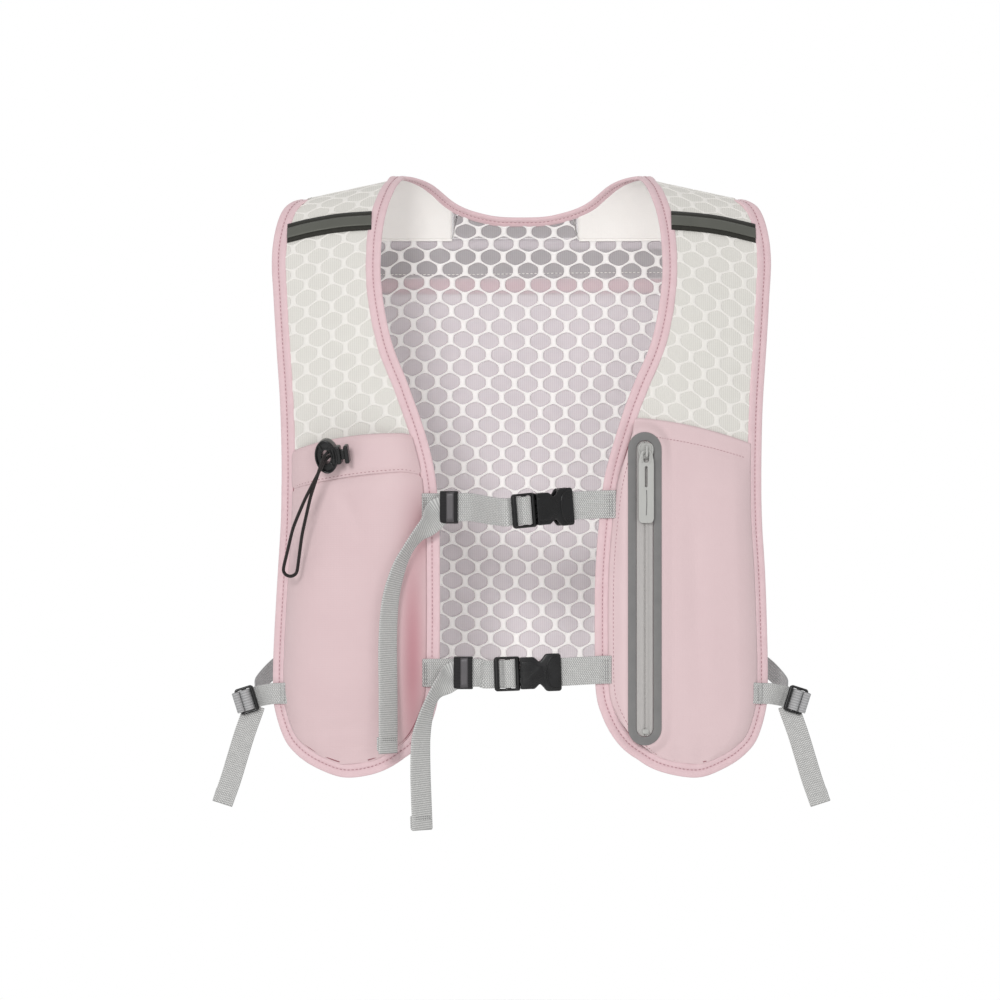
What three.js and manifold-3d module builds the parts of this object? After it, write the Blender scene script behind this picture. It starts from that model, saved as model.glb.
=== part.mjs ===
// Lightweight running vest worn over the shoulders, in millimetres, +Z up.
// The origin is midway between the two shoulder crests; the front of the vest faces -Y.
// Every fabric piece is a thin closed solid laid on one shared torso surface.
import * as THREE from 'three';
import Module from 'manifold-3d';
import { mergeVertices } from 'three/addons/utils/BufferGeometryUtils.js';

// ---------------------------------------------------------------- driving dimensions
const TORSO_DEPTH = 78;        // half depth of the worn vest at its middle
const CREST_RADIUS = 110;      // height over which a panel turns over the shoulder
const CREST_X = 83;            // where the neckline meets the shoulder crest
const CREST_DROP = 16 / 74;    // slope of the shoulder crest towards the arm
const SHEET = 0.8;             // thickness of a fabric layer
const BINDING = 2.0;           // thickness of a folded binding
const BIND_FRONT = 11;         // width of the binding round the front panels
const BIND_BACK = 8;           // width of the binding round the back
const GAP = 0.35;              // clearance between pieces that touch
const WEB = 20;                // width of the chest webbing
const WEB_T = 1.3;             // thickness of webbing
const SIDE_WEB = 15;           // width of the side webbing
const CORD_D = 2.4;            // diameter of the drawcord
const ZIP_X = 87.8;            // middle of the pocket zip
const ZIP_TOP = -183.5;        // top of the zip frame
const ZIP_BOTTOM = -407;       // bottom of the zip frame
const ZIP_W = 24.6;            // width of the zip frame
const ZIP_WINDOW = 12.6;       // width of the opening in the zip frame
const POCKET_BULGE = 16;       // how far the open pocket stands off the chest
const ZIP_BULGE = 8.9;          // how far the zipped pocket stands off the chest
const BUCKLE_L = 47.8;         // length of a closed chest buckle

const wasm = await Module();
wasm.setup();
const vec = (x, y, z) => new THREE.Vector3(x, y, z);
const group = new THREE.Group();

// ---------------------------------------------------------------- materials
const look = (color, roughness = 0.85, metalness = 0) => ({ color, roughness, metalness });
const PINK = look(0xe0c9ca, 0.6), PINK_TAPE = look(0xdcc1c5, 0.75), MESH = look(0xe9e5e5, 0.8);
const LINING = look(0xe3dcdd, 0.85), GREY = look(0x5b5c55, 0.35), BLACK = look(0x2a2a28, 0.7);
const WEBBING = look(0xc1c1c1, 0.8), DARK_WEB = look(0xa5a5a5, 0.8), PLASTIC = look(0x141414, 0.35);
const FRAME_GREY = look(0x858283, 0.5), ZIP_GREY = look(0xbfbcbb, 0.6), METAL = look(0xb8b8b6, 0.35, 0.4);

function place(name, geometry, m, matrix) {
  const material = new THREE.MeshStandardMaterial({ color: m.color, roughness: m.roughness, metalness: m.metalness });
  const mesh = new THREE.Mesh(geometry, material);
  mesh.name = name;
  if (matrix) mesh.applyMatrix4(matrix);
  group.add(mesh);
}

// ---------------------------------------------------------------- torso surface
// q runs down the surface: 0 on the crest, -1 and +1 where the front and back hang straight.
const depth = (x) => TORSO_DEPTH * (1 - 0.5 * Math.pow(Math.abs(x) / 170, 2.2));
const crest = (x) => -Math.max(0, Math.abs(x) - CREST_X) * CREST_DROP;
function surf(x, q) {
  const s = q < 0 ? -1 : 1, a = Math.abs(q), R = CREST_RADIUS;
  const h = a < 1 ? R * (1 - Math.cos(a * Math.PI / 2)) : R * (1 + (a - 1) * Math.PI / 2);
  return vec(x, s * depth(x) * (a < 1 ? Math.sin(a * Math.PI / 2) : 1), crest(x) - h);
}
function normalAt(x, q) {
  const e = 1e-3;
  const du = surf(x + 0.5, q).sub(surf(x - 0.5, q)), dv = surf(x, q + e).sub(surf(x, q - e));
  const n = du.cross(dv).normalize(), p = surf(x, q);
  const out = vec(0, p.y, Math.max(0, p.z + CREST_RADIUS));
  return n.dot(out) < 0 ? n.negate() : n;
}
const off = (x, q, d) => surf(x, q).addScaledVector(normalAt(x, q), d);
function coords(p, side) {      // x and q of the surface point nearest to p
  const h = crest(p.x) - p.z, R = CREST_RADIUS;
  const a = h < R ? Math.atan2(Math.abs(p.y) / depth(p.x), 1 - h / R) / (Math.PI / 2) : 1 + (h / R - 1) * 2 / Math.PI;
  return [p.x, side * a];
}
function qAt(x, z, side) {
  const h = Math.max(0, crest(x) - z), R = CREST_RADIUS;
  return side * (h < R ? Math.acos(1 - h / R) / (Math.PI / 2) : 1 + (h / R - 1) * 2 / Math.PI);
}

// ---------------------------------------------------------------- solids
function solid(points, faces) {
  let vol = 0;
  for (const [a, b, c] of faces) vol += points[a].dot(points[b].clone().cross(points[c]));
  const pos = [];
  for (const [a, b, c] of faces) for (const k of (vol < 0 ? [a, c, b] : [a, b, c])) pos.push(points[k].x, points[k].y, points[k].z);
  const g = new THREE.BufferGeometry();
  g.setAttribute('position', new THREE.BufferAttribute(new Float32Array(pos), 3));
  g.computeVertexNormals();
  return g;
}
// A sheet of thickness t around the grid of points P[i][j].
function sheet(P, t) {
  const n = P.length, m = P[0].length, pts = [], faces = [];
  const id = (i, j, k) => (i * m + j) * 2 + k;
  for (let i = 0; i < n; i++) for (let j = 0; j < m; j++) {
    const a = P[Math.min(i + 1, n - 1)][j].clone().sub(P[Math.max(i - 1, 0)][j]);
    const b = P[i][Math.min(j + 1, m - 1)].clone().sub(P[i][Math.max(j - 1, 0)]);
    const nn = a.cross(b).normalize();
    pts.push(P[i][j].clone().addScaledVector(nn, t / 2), P[i][j].clone().addScaledVector(nn, -t / 2));
  }
  const quad = (a, b, c, d) => faces.push([a, b, c], [a, c, d]);
  for (let i = 0; i + 1 < n; i++) for (let j = 0; j + 1 < m; j++) {
    quad(id(i, j, 0), id(i + 1, j, 0), id(i + 1, j + 1, 0), id(i, j + 1, 0));
    quad(id(i, j, 1), id(i, j + 1, 1), id(i + 1, j + 1, 1), id(i + 1, j, 1));
  }
  for (let i = 0; i + 1 < n; i++) {
    quad(id(i, 0, 0), id(i, 0, 1), id(i + 1, 0, 1), id(i + 1, 0, 0));
    quad(id(i, m - 1, 0), id(i + 1, m - 1, 0), id(i + 1, m - 1, 1), id(i, m - 1, 1));
  }
  for (let j = 0; j + 1 < m; j++) {
    quad(id(0, j, 0), id(0, j + 1, 0), id(0, j + 1, 1), id(0, j, 1));
    quad(id(n - 1, j, 0), id(n - 1, j, 1), id(n - 1, j + 1, 1), id(n - 1, j + 1, 0));
  }
  return solid(pts, faces);
}
// A band of width w and thickness t; W[i] is the direction of its width at each point.
function band(P, W, w, t, square = true) {
  const n = P.length, pts = [], faces = [];
  P.forEach((p, i) => {
    const T = P[Math.min(i + 1, n - 1)].clone().sub(P[Math.max(i - 1, 0)]).normalize();
    const wd = W[i].clone().addScaledVector(T, square ? -W[i].dot(T) : 0).normalize(), nn = T.cross(wd).normalize();
    for (const [a, b] of [[-1, -1], [1, -1], [1, 1], [-1, 1]])
      pts.push(p.clone().addScaledVector(wd, a * w / 2).addScaledVector(nn, b * t / 2));
  });
  const quad = (a, b, c, d) => faces.push([a, b, c], [a, c, d]);
  for (let i = 0; i + 1 < n; i++) for (let k = 0; k < 4; k++) {
    const l = (k + 1) % 4;
    quad(i * 4 + k, i * 4 + l, i * 4 + 4 + l, i * 4 + 4 + k);
  }
  quad(3, 2, 1, 0);
  const e = (n - 1) * 4;
  quad(e, e + 1, e + 2, e + 3);
  return solid(pts, faces);
}
function toManifold(geometry) {
  const g = geometry.clone();
  g.deleteAttribute('normal'); g.deleteAttribute('uv');
  const m = mergeVertices(g, 1e-4);
  return new wasm.Manifold(new wasm.Mesh({ numProp: 3, vertProperties: new Float32Array(m.attributes.position.array), triVerts: new Uint32Array(m.index.array) }));
}
function toGeometry(man) {
  const m = man.getMesh(), pos = [];
  for (const k of m.triVerts) pos.push(m.vertProperties[k * m.numProp], m.vertProperties[k * m.numProp + 1], m.vertProperties[k * m.numProp + 2]);
  const g = new THREE.BufferGeometry();
  g.setAttribute('position', new THREE.BufferAttribute(new Float32Array(pos), 3));
  g.computeVertexNormals();
  return g;
}
const cut = (a, ...bs) => toGeometry(bs.reduce((m, b) => m.subtract(toManifold(b)), toManifold(a)));
const join = (a, ...bs) => toGeometry(bs.reduce((m, b) => m.add(toManifold(b)), toManifold(a)));
// An outline in the u,v plane, extruded along n from n0 to n1.
function plate(points, n0, n1) {
  const g = new THREE.ExtrudeGeometry(new THREE.Shape(points.map(([u, v]) => new THREE.Vector2(u, v))), { depth: n1 - n0, bevelEnabled: false });
  return g.translate(0, 0, n0);
}
const box = (u0, u1, v0, v1, n0, n1) => new THREE.BoxGeometry(u1 - u0, v1 - v0, n1 - n0).translate((u0 + u1) / 2, (v0 + v1) / 2, (n0 + n1) / 2);
function stadium(w, l, n0, n1, steps = 8) {      // long axis along v
  const pts = [], r = w / 2, c = l / 2 - r;
  for (let k = 0; k <= steps; k++) pts.push([r * Math.cos(Math.PI * k / steps), c + r * Math.sin(Math.PI * k / steps)]);
  for (let k = 0; k <= steps; k++) pts.push([-r * Math.cos(Math.PI * k / steps), -c - r * Math.sin(Math.PI * k / steps)]);
  return plate(pts, n0, n1);
}
// A frame of axes: u along, v across, n towards the viewer.
function frame(origin, u, v) {
  const U = u.clone().normalize(), V = v.clone().addScaledVector(U, -v.dot(U)).normalize(), N = U.clone().cross(V);
  return new THREE.Matrix4().makeBasis(U, V, N).setPosition(origin);
}

// ---------------------------------------------------------------- outlines, [x, z] down each edge
// Each front panel is ruled between its inner edge and its outer edge, crest first.
const INNER_LEFT = [[-91.7, -10.7], [-97.5, -28.6], [-100.3, -50], [-100, -80], [-93, -118], [-80, -152], [-69, -183.5], [-62, -212],
  [-58.8, -245], [-58.2, -285], [-58.2, -332], [-59, -368], [-62.5, -386], [-69.6, -402], [-79.6, -413.4], [-94, -423], [-110, -428.8]];
const OUTER_LEFT = [[-170, -22], [-176.5, -38], [-179, -60], [-177.5, -89], [-175.5, -122], [-173, -160], [-171.8, -198], [-171.8, -224],
  [-172.4, -250], [-174.6, -286], [-177, -328], [-178, -358], [-177, -380], [-170, -402.5], [-160, -415], [-146, -424], [-128, -430.2]];
const INNER_RIGHT = [[91.7, -10.7], [97.5, -28.6], [100.3, -50], [100, -80], [93, -118], [79, -152], [72, -171], [60, -212],
  [55.6, -245], [52.6, -285], [52.2, -332], [53, -368], [57.5, -386], [66, -402], [77, -413.4], [92, -423], [110, -428.8]];
const OUTER_RIGHT = [[170, -22], [176.5, -38], [179, -60], [177.5, -89], [175.5, -122], [173, -160], [172, -192], [171.8, -224],
  [172.4, -250], [174.6, -286], [176, -328], [176.5, -358], [175.5, -380], [169, -402.5], [159, -415], [145, -424], [128, -430.2]];
const POCKET_ROW = 7;          // index, with the crest as 0, of the row at the pocket's top edge
const HEM_ROW = 8;             // index of the row at the foot of the pocket's drawcord hem
const NECK = [[-66, -4], [-47.5, -17.5], [-24, -25.7], [0, -27.4]];
const ARM = [[-163, -22], [-163.5, -28], [-162, -34], [-159, -41]];
const BACK_EDGE = [[-158, -44], [-153, -80], [-150, -115], [-150, -160], [-152, -210], [-156, -260], [-161, -310], [-164.5, -348]];
const HEM_Z = -357;
const CREST_IN = 83.2, CREST_OUT = 160;

const sideOf = { left: -1, right: 1 };
// The crest is crossed by two rows a hair apart, so that bindings can stop there.
const CREST_Q = 0.008;
function frontEdge(list, side, crestX) {
  const pts = [surf(side * crestX, -CREST_Q)];
  for (const [x, z] of list) pts.push(surf(x, qAt(x, z, -1)));
  return pts;
}
function backEdge(list, side, crestX) {
  const pts = [surf(side * crestX, CREST_Q)];
  for (const [x, z] of list) { const X = side * Math.abs(x); pts.push(surf(X, qAt(X, z, 1))); }
  return pts;
}
// Directions across an edge, lying in the surface and pointing towards the point 'inside'.
function across(P, sideQ, inside) {
  const n = P.length;
  return P.map((p, i) => {
    const T = P[Math.min(i + 1, n - 1)].clone().sub(P[Math.max(i - 1, 0)]).normalize();
    const [x, q] = coords(p, sideQ);
    let B = normalAt(x, q).cross(T).normalize();
    if (Math.abs(q) < 0.02) B = surf(x + 0.5, q).sub(surf(x - 0.5, q)).normalize();   // along the crest
    return B.dot(inside(p, i).clone().sub(p)) < 0 ? B.negate() : B;
  });
}
const shifted = (P, B, d) => P.map((p, i) => p.clone().addScaledVector(B[i], d));
// Grid between two edges, lifted off the surface by lift(row, s).
function ruled(A, B, sideQ, cols, lift = () => 0, dz = {}) {
  return A.map((a, i) => {
    const [xa, qa] = coords(a, Array.isArray(sideQ) ? sideQ[i] : sideQ), [xb, qb] = coords(B[i], Array.isArray(sideQ) ? sideQ[i] : sideQ);
    const row = [];
    for (let j = 0; j <= cols; j++) {
      const s = j / cols, p = off(xa + (xb - xa) * s, qa + (qb - qa) * s, lift(i, s));
      if (dz[i]) p.z += dz[i];
      row.push(p);
    }
    return row;
  });
}

// ---------------------------------------------------------------- front panels and bindings
const edges = {};
for (const name of ['left', 'right']) {
  const s = sideOf[name];
  const I = frontEdge(name === 'left' ? INNER_LEFT : INNER_RIGHT, s, CREST_IN);
  const O = frontEdge(name === 'left' ? OUTER_LEFT : OUTER_RIGHT, s, CREST_OUT);
  const loop = [...I, ...O.slice().reverse()];
  const mid = vec(s * 118, -60, -330), top = vec(s * 135, -20, -60);
  const B = across(loop, -1, (p, i) => {
    const k = i < I.length ? i : loop.length - 1 - i;
    return k < 12 ? I[k].clone().add(O[k]).multiplyScalar(0.5) : mid;
  });
  const core = shifted(loop, B, BIND_FRONT / 2);
  place(`front_binding_${name}`, band(core, B, BIND_FRONT, BINDING, false), PINK_TAPE);
  const rim = shifted(loop, B, BIND_FRONT + GAP);
  edges[name] = { I, O, inner: rim.slice(0, I.length), outer: rim.slice(I.length).reverse() };
}

// ---------------------------------------------------------------- back bindings
const back = {};
for (const name of ['left', 'right']) {
  const s = sideOf[name];
  const N = backEdge(NECK, s, CREST_IN), A = backEdge([...ARM, ...BACK_EDGE], s, CREST_OUT);
  const BN = across(N, 1, (p) => p.clone().add(vec(s * 30, 0, -60)));
  const BA = across(A, 1, () => vec(0, 40, -180));
  place(`armhole_binding_${name}`, band(shifted(A, BA, BIND_BACK / 2), BA, BIND_BACK, BINDING, false), PINK_TAPE);
  back[name] = { N, BN, A: shifted(A, BA, BIND_BACK + GAP), neck: shifted(N, BN, BIND_BACK + GAP) };
}
{
  const N = [...back.left.N, ...back.right.N.slice(0, -1).reverse()];
  const BN = across(N, 1, (p) => p.clone().add(vec(p.x * 0.4, 0, -60)));
  place('neck_binding', band(shifted(N, BN, BIND_BACK / 2), BN, BIND_BACK, BINDING, false), PINK_TAPE);
  const rim = shifted(N, BN, BIND_BACK + GAP);
  back.left.neck = rim.slice(0, 5);
  back.right.neck = rim.slice(4).reverse();
  const hem = [], down = [];
  for (let j = 0; j <= 10; j++) {
    const x = -165 + 33 * j;
    hem.push(surf(x, qAt(x, HEM_Z + BIND_BACK / 2, 1)));
    down.push(vec(0, 0, 1));
  }
  place('hem_binding', band(hem, down, BIND_BACK, BINDING), PINK_TAPE);
}

// ---------------------------------------------------------------- shoulder mesh, front and back in one piece
for (const name of ['left', 'right']) {
  const s = sideOf[name], e = edges[name], b = back[name];
  const inner = [...e.inner.slice(0, POCKET_ROW + 1).reverse(), ...b.neck];
  const outer = [...e.outer.slice(0, POCKET_ROW + 1).reverse(), ...b.A.slice(0, 5)];
  const sides = [...Array(POCKET_ROW + 1).fill(-1), ...Array(5).fill(1)];
  inner[inner.length - 1] = inner[inner.length - 1].clone(); inner[inner.length - 1].x = s * 0.25;
  const low = surf(s * 0.25, qAt(0, -43, 1));
  const q5 = coords(b.A[4], 1);
  inner.push(low); outer.push(surf(q5[0] - s * 1.6, qAt(q5[0], -43.2, 1))); sides.push(1);
  const rows = ruled(inner, outer, sides, 5, () => 0, { 0: 0.25 });
  const last = rows.length - 1;      // the yoke seam runs level across the back
  rows[last] = rows[last].map((p, j) => { const x = rows[last][0].x + (rows[last][5].x - rows[last][0].x) * j / 5; return off(x, qAt(x, -43.1, 1), 0); });
  place(`shoulder_mesh_${name}`, sheet(rows, SHEET), MESH);
}

// ---------------------------------------------------------------- back panel and its layers
function backRows(zs, inset, lift, cols = 10) {
  return zs.map((z) => {
    const k = BACK_EDGE.findIndex(([, zz]) => zz <= z), [x1, z1] = BACK_EDGE[k < 0 ? BACK_EDGE.length - 1 : k], [x0, z0] = BACK_EDGE[Math.max(0, (k < 0 ? BACK_EDGE.length : k) - 1)];
    const f = z1 === z0 ? 0 : (z - z0) / (z1 - z0), w = Math.abs(x0 + (x1 - x0) * Math.min(1, Math.max(0, f))) - inset;
    const row = [];
    for (let j = 0; j <= cols; j++) { const x = -w + 2 * w * j / cols; row.push(off(x, qAt(x, z, 1), lift)); }
    return row;
  });
}
place('back_mesh_panel', sheet(backRows([-43.7, -61, -80, -97, -115, -160, -210, -260, -310, -348.6], BIND_BACK + 0.9, 0, 12), SHEET), MESH);
place('back_reflective_band', sheet(backRows([-51, -61, -71], BIND_BACK + 2, 1.5), 0.5), GREY);
place('back_pocket_panel', sheet(backRows([-71.8, -80, -97, -115, -160, -210, -235], BIND_BACK + 2, 1.7), SHEET), PINK);
place('back_lower_panel', sheet(backRows([-235.6, -260, -310, -348], BIND_BACK + 2, 1.6), SHEET), LINING);
{
  const rows = [-36.6, -40, -43, -46].map((z) => [-45, -30, -15, 0, 14, 28, 40].map((x) => off(x, qAt(x, z, 1), 1.5)));
  place('neck_patch', sheet(rows, SHEET), BLACK);
}

// ---------------------------------------------------------------- shoulder tapes
for (const name of ['left', 'right']) {
  const s = sideOf[name];
  const strip = (half, lift) => {
    const rows = [];
    for (const f of [1, 0, -1]) {
      const row = [];
      for (let j = 0; j <= 4; j++) {
        const x = s * (166 - 57 * j / 4), z = -41 + 8.5 * j / 4 + half * f;
        row.push(off(x, qAt(x, z, -1), lift));
      }
      rows.push(row);
    }
    return rows;
  };
  place(`shoulder_tape_${name}`, sheet(strip(6.6, 1.45), 0.6), BLACK);
  place(`shoulder_reflector_${name}`, sheet(strip(3.4, 2.3), 0.4), GREY);
}

// ---------------------------------------------------------------- pockets
const bell = (s, p) => 1 - Math.pow(Math.abs(2 * s - 1), p);
const OPEN_LIFT = [9, 11, 13, 15.5, POCKET_BULGE, 14, 11, 7, 4, 1.5, 0].map((v) => v);   // rows from the pocket's top edge down
const COLS = 8;
{
  const e = edges.left, from = POCKET_ROW, rows = (a, b) => [e.inner.slice(a, b), e.outer.slice(a, b)];
  const [li, lo] = rows(from, 18);
  place('pocket_left_lining', sheet(ruled(li, lo, -1, COLS, () => 0, { 0: -0.25 }), SHEET), LINING);
  const lift = (i, s) => 1.15 + (OPEN_LIFT[i] ?? 0) * bell(s, 4);
  const all = ruled(li, lo, -1, COLS, lift, { 0: -0.25 });
  const hemRows = [all[0], all[1].map((p) => p.clone().add(vec(0, 0, 0.25)))];
  place('pocket_left_hem', sheet(hemRows, 1.2), PINK);
  const panel = all.slice(1); panel[0] = panel[0].map((p) => p.clone().add(vec(0, 0, -0.25)));
  place('pocket_left_panel', sheet(panel, SHEET), PINK);
}
const zipAngle = Math.atan(TORSO_DEPTH * 0.5 * 2.2 * Math.pow(ZIP_X / 170, 1.2) / 170);
const zipY = -(depth(ZIP_X) + ZIP_BULGE);
const zipFrame = frame(vec(ZIP_X, zipY, (ZIP_TOP + ZIP_BOTTOM) / 2), vec(Math.cos(zipAngle), Math.sin(zipAngle), 0), vec(0, 0, 1));
const zipLength = ZIP_TOP - ZIP_BOTTOM;
{
  const e = edges.right, li = e.inner.slice(POCKET_ROW), lo = e.outer.slice(POCKET_ROW);
  place('pocket_right_lining', sheet(ruled(li, lo, -1, COLS, () => 0, { 0: -0.25 }), SHEET), LINING);
  // The front of the zipped pocket is a low plateau: ruled rows, lifted towards a level under the zip.
  const LIFT = [0, 6.2, 6.4, 6.4, 6.4, 6.4, 6.2, 5.4, 3.6, 1.4, 0];
  const P = ruled(li, lo, -1, 10, (i, s) => 1.15 + LIFT[i] * Math.min(1, bell(s, 6) * 1.15), { 0: -0.25 });
  const slot = stadium(ZIP_WINDOW, zipLength - 12, -14, 6).applyMatrix4(zipFrame);
  place('pocket_right_panel', cut(sheet(P, SHEET), slot), PINK);
}
place('zip_frame', cut(stadium(ZIP_W, zipLength, 0, 1), stadium(ZIP_WINDOW, zipLength - 12, -1, 2)), FRAME_GREY, zipFrame);
place('zip_tape', join(stadium(ZIP_WINDOW - 0.8, zipLength - 12.8, -0.1, 0.7), box(-1.7, 1.7, -zipLength / 2 + 12, zipLength / 2 - 12, 0.5, 1.8)), ZIP_GREY, zipFrame);
place('zip_stop', box(-2.4, 2.4, -zipLength / 2 + 8.2, -zipLength / 2 + 11.6, 1.1, 3), METAL, zipFrame);
{
  // Slider: a saddle over the coil with a bridge for the puller.
  const v0 = zipLength / 2 - 19, v1 = v0 + 11;
  const body = plate([[-4.4, v0], [4.4, v0], [5.6, v1 - 3], [4.2, v1], [-4.2, v1], [-5.6, v1 - 3]], 2.2, 3.6);
  const post = box(-1.4, 1.4, v0 + 1.2, v0 + 3.0, 3.4, 6.8), post2 = box(-1.4, 1.4, v1 - 3.2, v1 - 1.4, 3.4, 6.8), top = box(-1.4, 1.4, v0 + 1.2, v1 - 1.4, 6.3, 7.2);
  place('zip_slider', join(body, post, post2, top), METAL, zipFrame);
  // Puller: a long flat tab with an eye round the bridge, hanging over the zip.
  const p0 = v0 + 6.6;
  const tab = plate([[-5.6, p0 - 8], [-5.6, p0 - 50], [-4.2, p0 - 52.5], [4.2, p0 - 52.5], [5.6, p0 - 50], [5.6, p0 - 8], [3.4, p0 - 0.4], [-3.4, p0 - 0.4]], 4.3, 5.4);
  const eye = box(-2.1, 2.1, p0 - 9.5, p0 - 2.2, 3, 7), slit = box(-1.0, 1.0, p0 - 27, p0 - 12, 3, 7);
  place('zip_puller', cut(tab, eye, slit), METAL, zipFrame);
}

// ---------------------------------------------------------------- drawcord and its lock
{
  const face = vec(-139.4, -85.6, -201.6);          // middle of the lock's front face
  const outward = vec(-0.22, -0.94, -0.25).normalize();
  const across0 = vec(1, -0.2, 0.1);
  const m = frame(face, across0, outward.clone().cross(across0).negate());
  const N = vec(0, 0, 1).transformDirection(m), flip = N.dot(outward) < 0 ? -1 : 1;
  const oval = (a, b, n0, n1, k = 20) => plate([...Array(k)].map((_, i) => [a * Math.cos(2 * Math.PI * i / k), b * Math.sin(2 * Math.PI * i / k)]), n0, n1);
  const lo = flip > 0 ? -9 : 0, hi = flip > 0 ? 0 : 9;
  const bore = oval(3.4, 5.2, lo - 1, hi + 1, 12);
  const well = box(1.5, 12, -3.9, 3.9, lo + 2.2, hi - 2.2);
  place('cord_lock_body', cut(join(oval(8.2, 12.2, lo, hi), box(4, 10.4, -6.6, 6.6, lo + 0.8, hi - 0.8)), bore, well), PLASTIC, m);
  place('cord_lock_button', join(box(5.2, 13.2, -3.5, 3.5, lo + 2.6, hi - 2.6), box(12.9, 16.2, -6.6, 6.6, lo + 0.8, hi - 0.8)), PLASTIC, m);
  // The cord leaves the hem, passes through the lock and hangs as one loop.
  const path = [
    [-127.6, -71.3, -203.6], [-132.94, -72.42, -201.37], [-134.89, -73.26, -200.73], [-136.45, -74.83, -200.58], [-137.35, -76.83, -200.93], [-139.78, -87.24, -203.87],
    [-140.51, -89.22, -204.94], [-141.54, -90.43, -206.69], [-142.65, -90.62, -208.77], [-147.73, -88.94, -218.7], [-152.82, -87.26, -228.63], [-154.71, -86.46, -232.51],
    [-156.44, -85.4, -236.4], [-161.21, -81.91, -247.74], [-162.82, -80.63, -252.07], [-164.08, -79.39, -256.52], [-166.94, -76.18, -268.53], [-169.8, -72.97, -280.54],
    [-169.81, -72.4, -282.68], [-168.85, -71.88, -284.6], [-167.13, -71.53, -285.93], [-164.98, -71.4, -286.4], [-163.28, -71.48, -286.09], [-161.76, -71.69, -285.22],
    [-160.66, -72.02, -283.88], [-160.11, -72.42, -282.25], [-158.45, -75.32, -270.52], [-156.8, -78.21, -258.8], [-156.34, -78.94, -256.02], [-155.78, -79.74, -253.28],
    [-153.54, -82.73, -243.55], [-151.31, -85.72, -233.82], [-150.07, -87.02, -229], [-148.57, -87.97, -224.17], [-145.39, -89.47, -214.76], [-142.21, -90.97, -205.35],
    [-141.37, -90.77, -203.09], [-140.52, -89.51, -201.21], [-139.83, -87.45, -200.12], [-137.32, -76.71, -197.32], [-136.45, -74.77, -196.98], [-134.92, -73.25, -197.07],
    [-132.99, -72.43, -197.58], [-127.6, -71.3, -199.4],
  ].map((p) => vec(...p));
  const curve = new THREE.CatmullRomCurve3(path, false, 'centripetal');
  const ring = new THREE.Shape([...Array(8)].map((_, i) => new THREE.Vector2(CORD_D / 2 * Math.cos(Math.PI * i / 4), CORD_D / 2 * Math.sin(Math.PI * i / 4))));
  place('cord_loop', new THREE.ExtrudeGeometry(ring, { steps: 80, extrudePath: curve, bevelEnabled: false }), BLACK);
}

// ---------------------------------------------------------------- chest straps and buckles
function ladder(u0) {        // bar frame that grips doubled webbing, 18 long
  const plateBody = plate([[u0, -11], [u0 + 1.5, -12.3], [u0 + 18, -12.3], [u0 + 18, 12.3], [u0 + 1.5, 12.3], [u0, 11]], -2, 2);
  return [plateBody, box(u0 + 3, u0 + 7, -10.4, 10.4, -3, 3), box(u0 + 9.6, u0 + 14.4, -10.4, 10.4, -3, 3)];
}
function buckle(name, matrix) {
  const [lad, w1, w2] = ladder(0);
  place(`${name}_male`, join(cut(lad, w1, w2), box(17.5, 34, -1.7, 1.7, -1.6, 1.6)), PLASTIC, matrix);
  for (const [k, s] of [['top', 1], ['bottom', -1]]) {
    let pts = [[18.5, 3.2], [18.5, 6.6], [27, 6.6], [28.6, 8.0], [33.5, 8.0], [36, 5.4], [36, 4.2], [20, 3.2]].map(([u, v]) => [u, v * s]);
    if (s < 0) pts = pts.reverse();
    place(`${name}_prong_${k}`, plate(pts, -2.2, 2.2), PLASTIC, matrix);
  }
  const half = [[18.4, 11.4], [28.4, 11.4], [29.6, 10.2], [32.4, 7.4], [35.2, 10.6], [37, 13.4], [47.8, 13.4]];
  const outline = [...half.map(([u, v]) => [u, -v]), ...half.slice().reverse()];
  const cavity = box(17, 37.2, -8.4, 8.4, -2.7, 2.7), slot = box(41, 44.4, -10.4, 10.4, -6, 6);
  place(`${name}_female`, cut(plate(outline, -4.5, 4.5), cavity, slot), PLASTIC, matrix);
}
const CHEST = {
  upper: { z: -237.2, left: -6.8, yaw: 28, tilt: 5, y: -104, stub: [-71, -58.4], keep: [-58, -45.2], fix: 66, drop: -3.2, slack: 2.4, tail: [[-58.8, -84.2, -244], [-68, -88, -252], [-80, -94, -265], [-91, -97.5, -285], [-95, -97.5, -310], [-95, -96, -360], [-95, -94.5, -410]], twist: [0, 8, 22, 38, 50, 50, 50] },
  lower: { z: -355.2, left: -19.6, yaw: 4, tilt: 2, y: -86, stub: [-70.6, -48.6], keep: [-48.2, -34.8], fix: 63, drop: -1, slack: 1.4, tail: [[-49, -84.6, -360], [-57, -87, -368], [-65, -89, -380], [-70, -90, -398], [-71.4, -90, -420], [-71.2, -89, -440], [-70.6, -88, -466]], twist: [0, 8, 20, 32, 42, 45, 45] },
};
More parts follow.
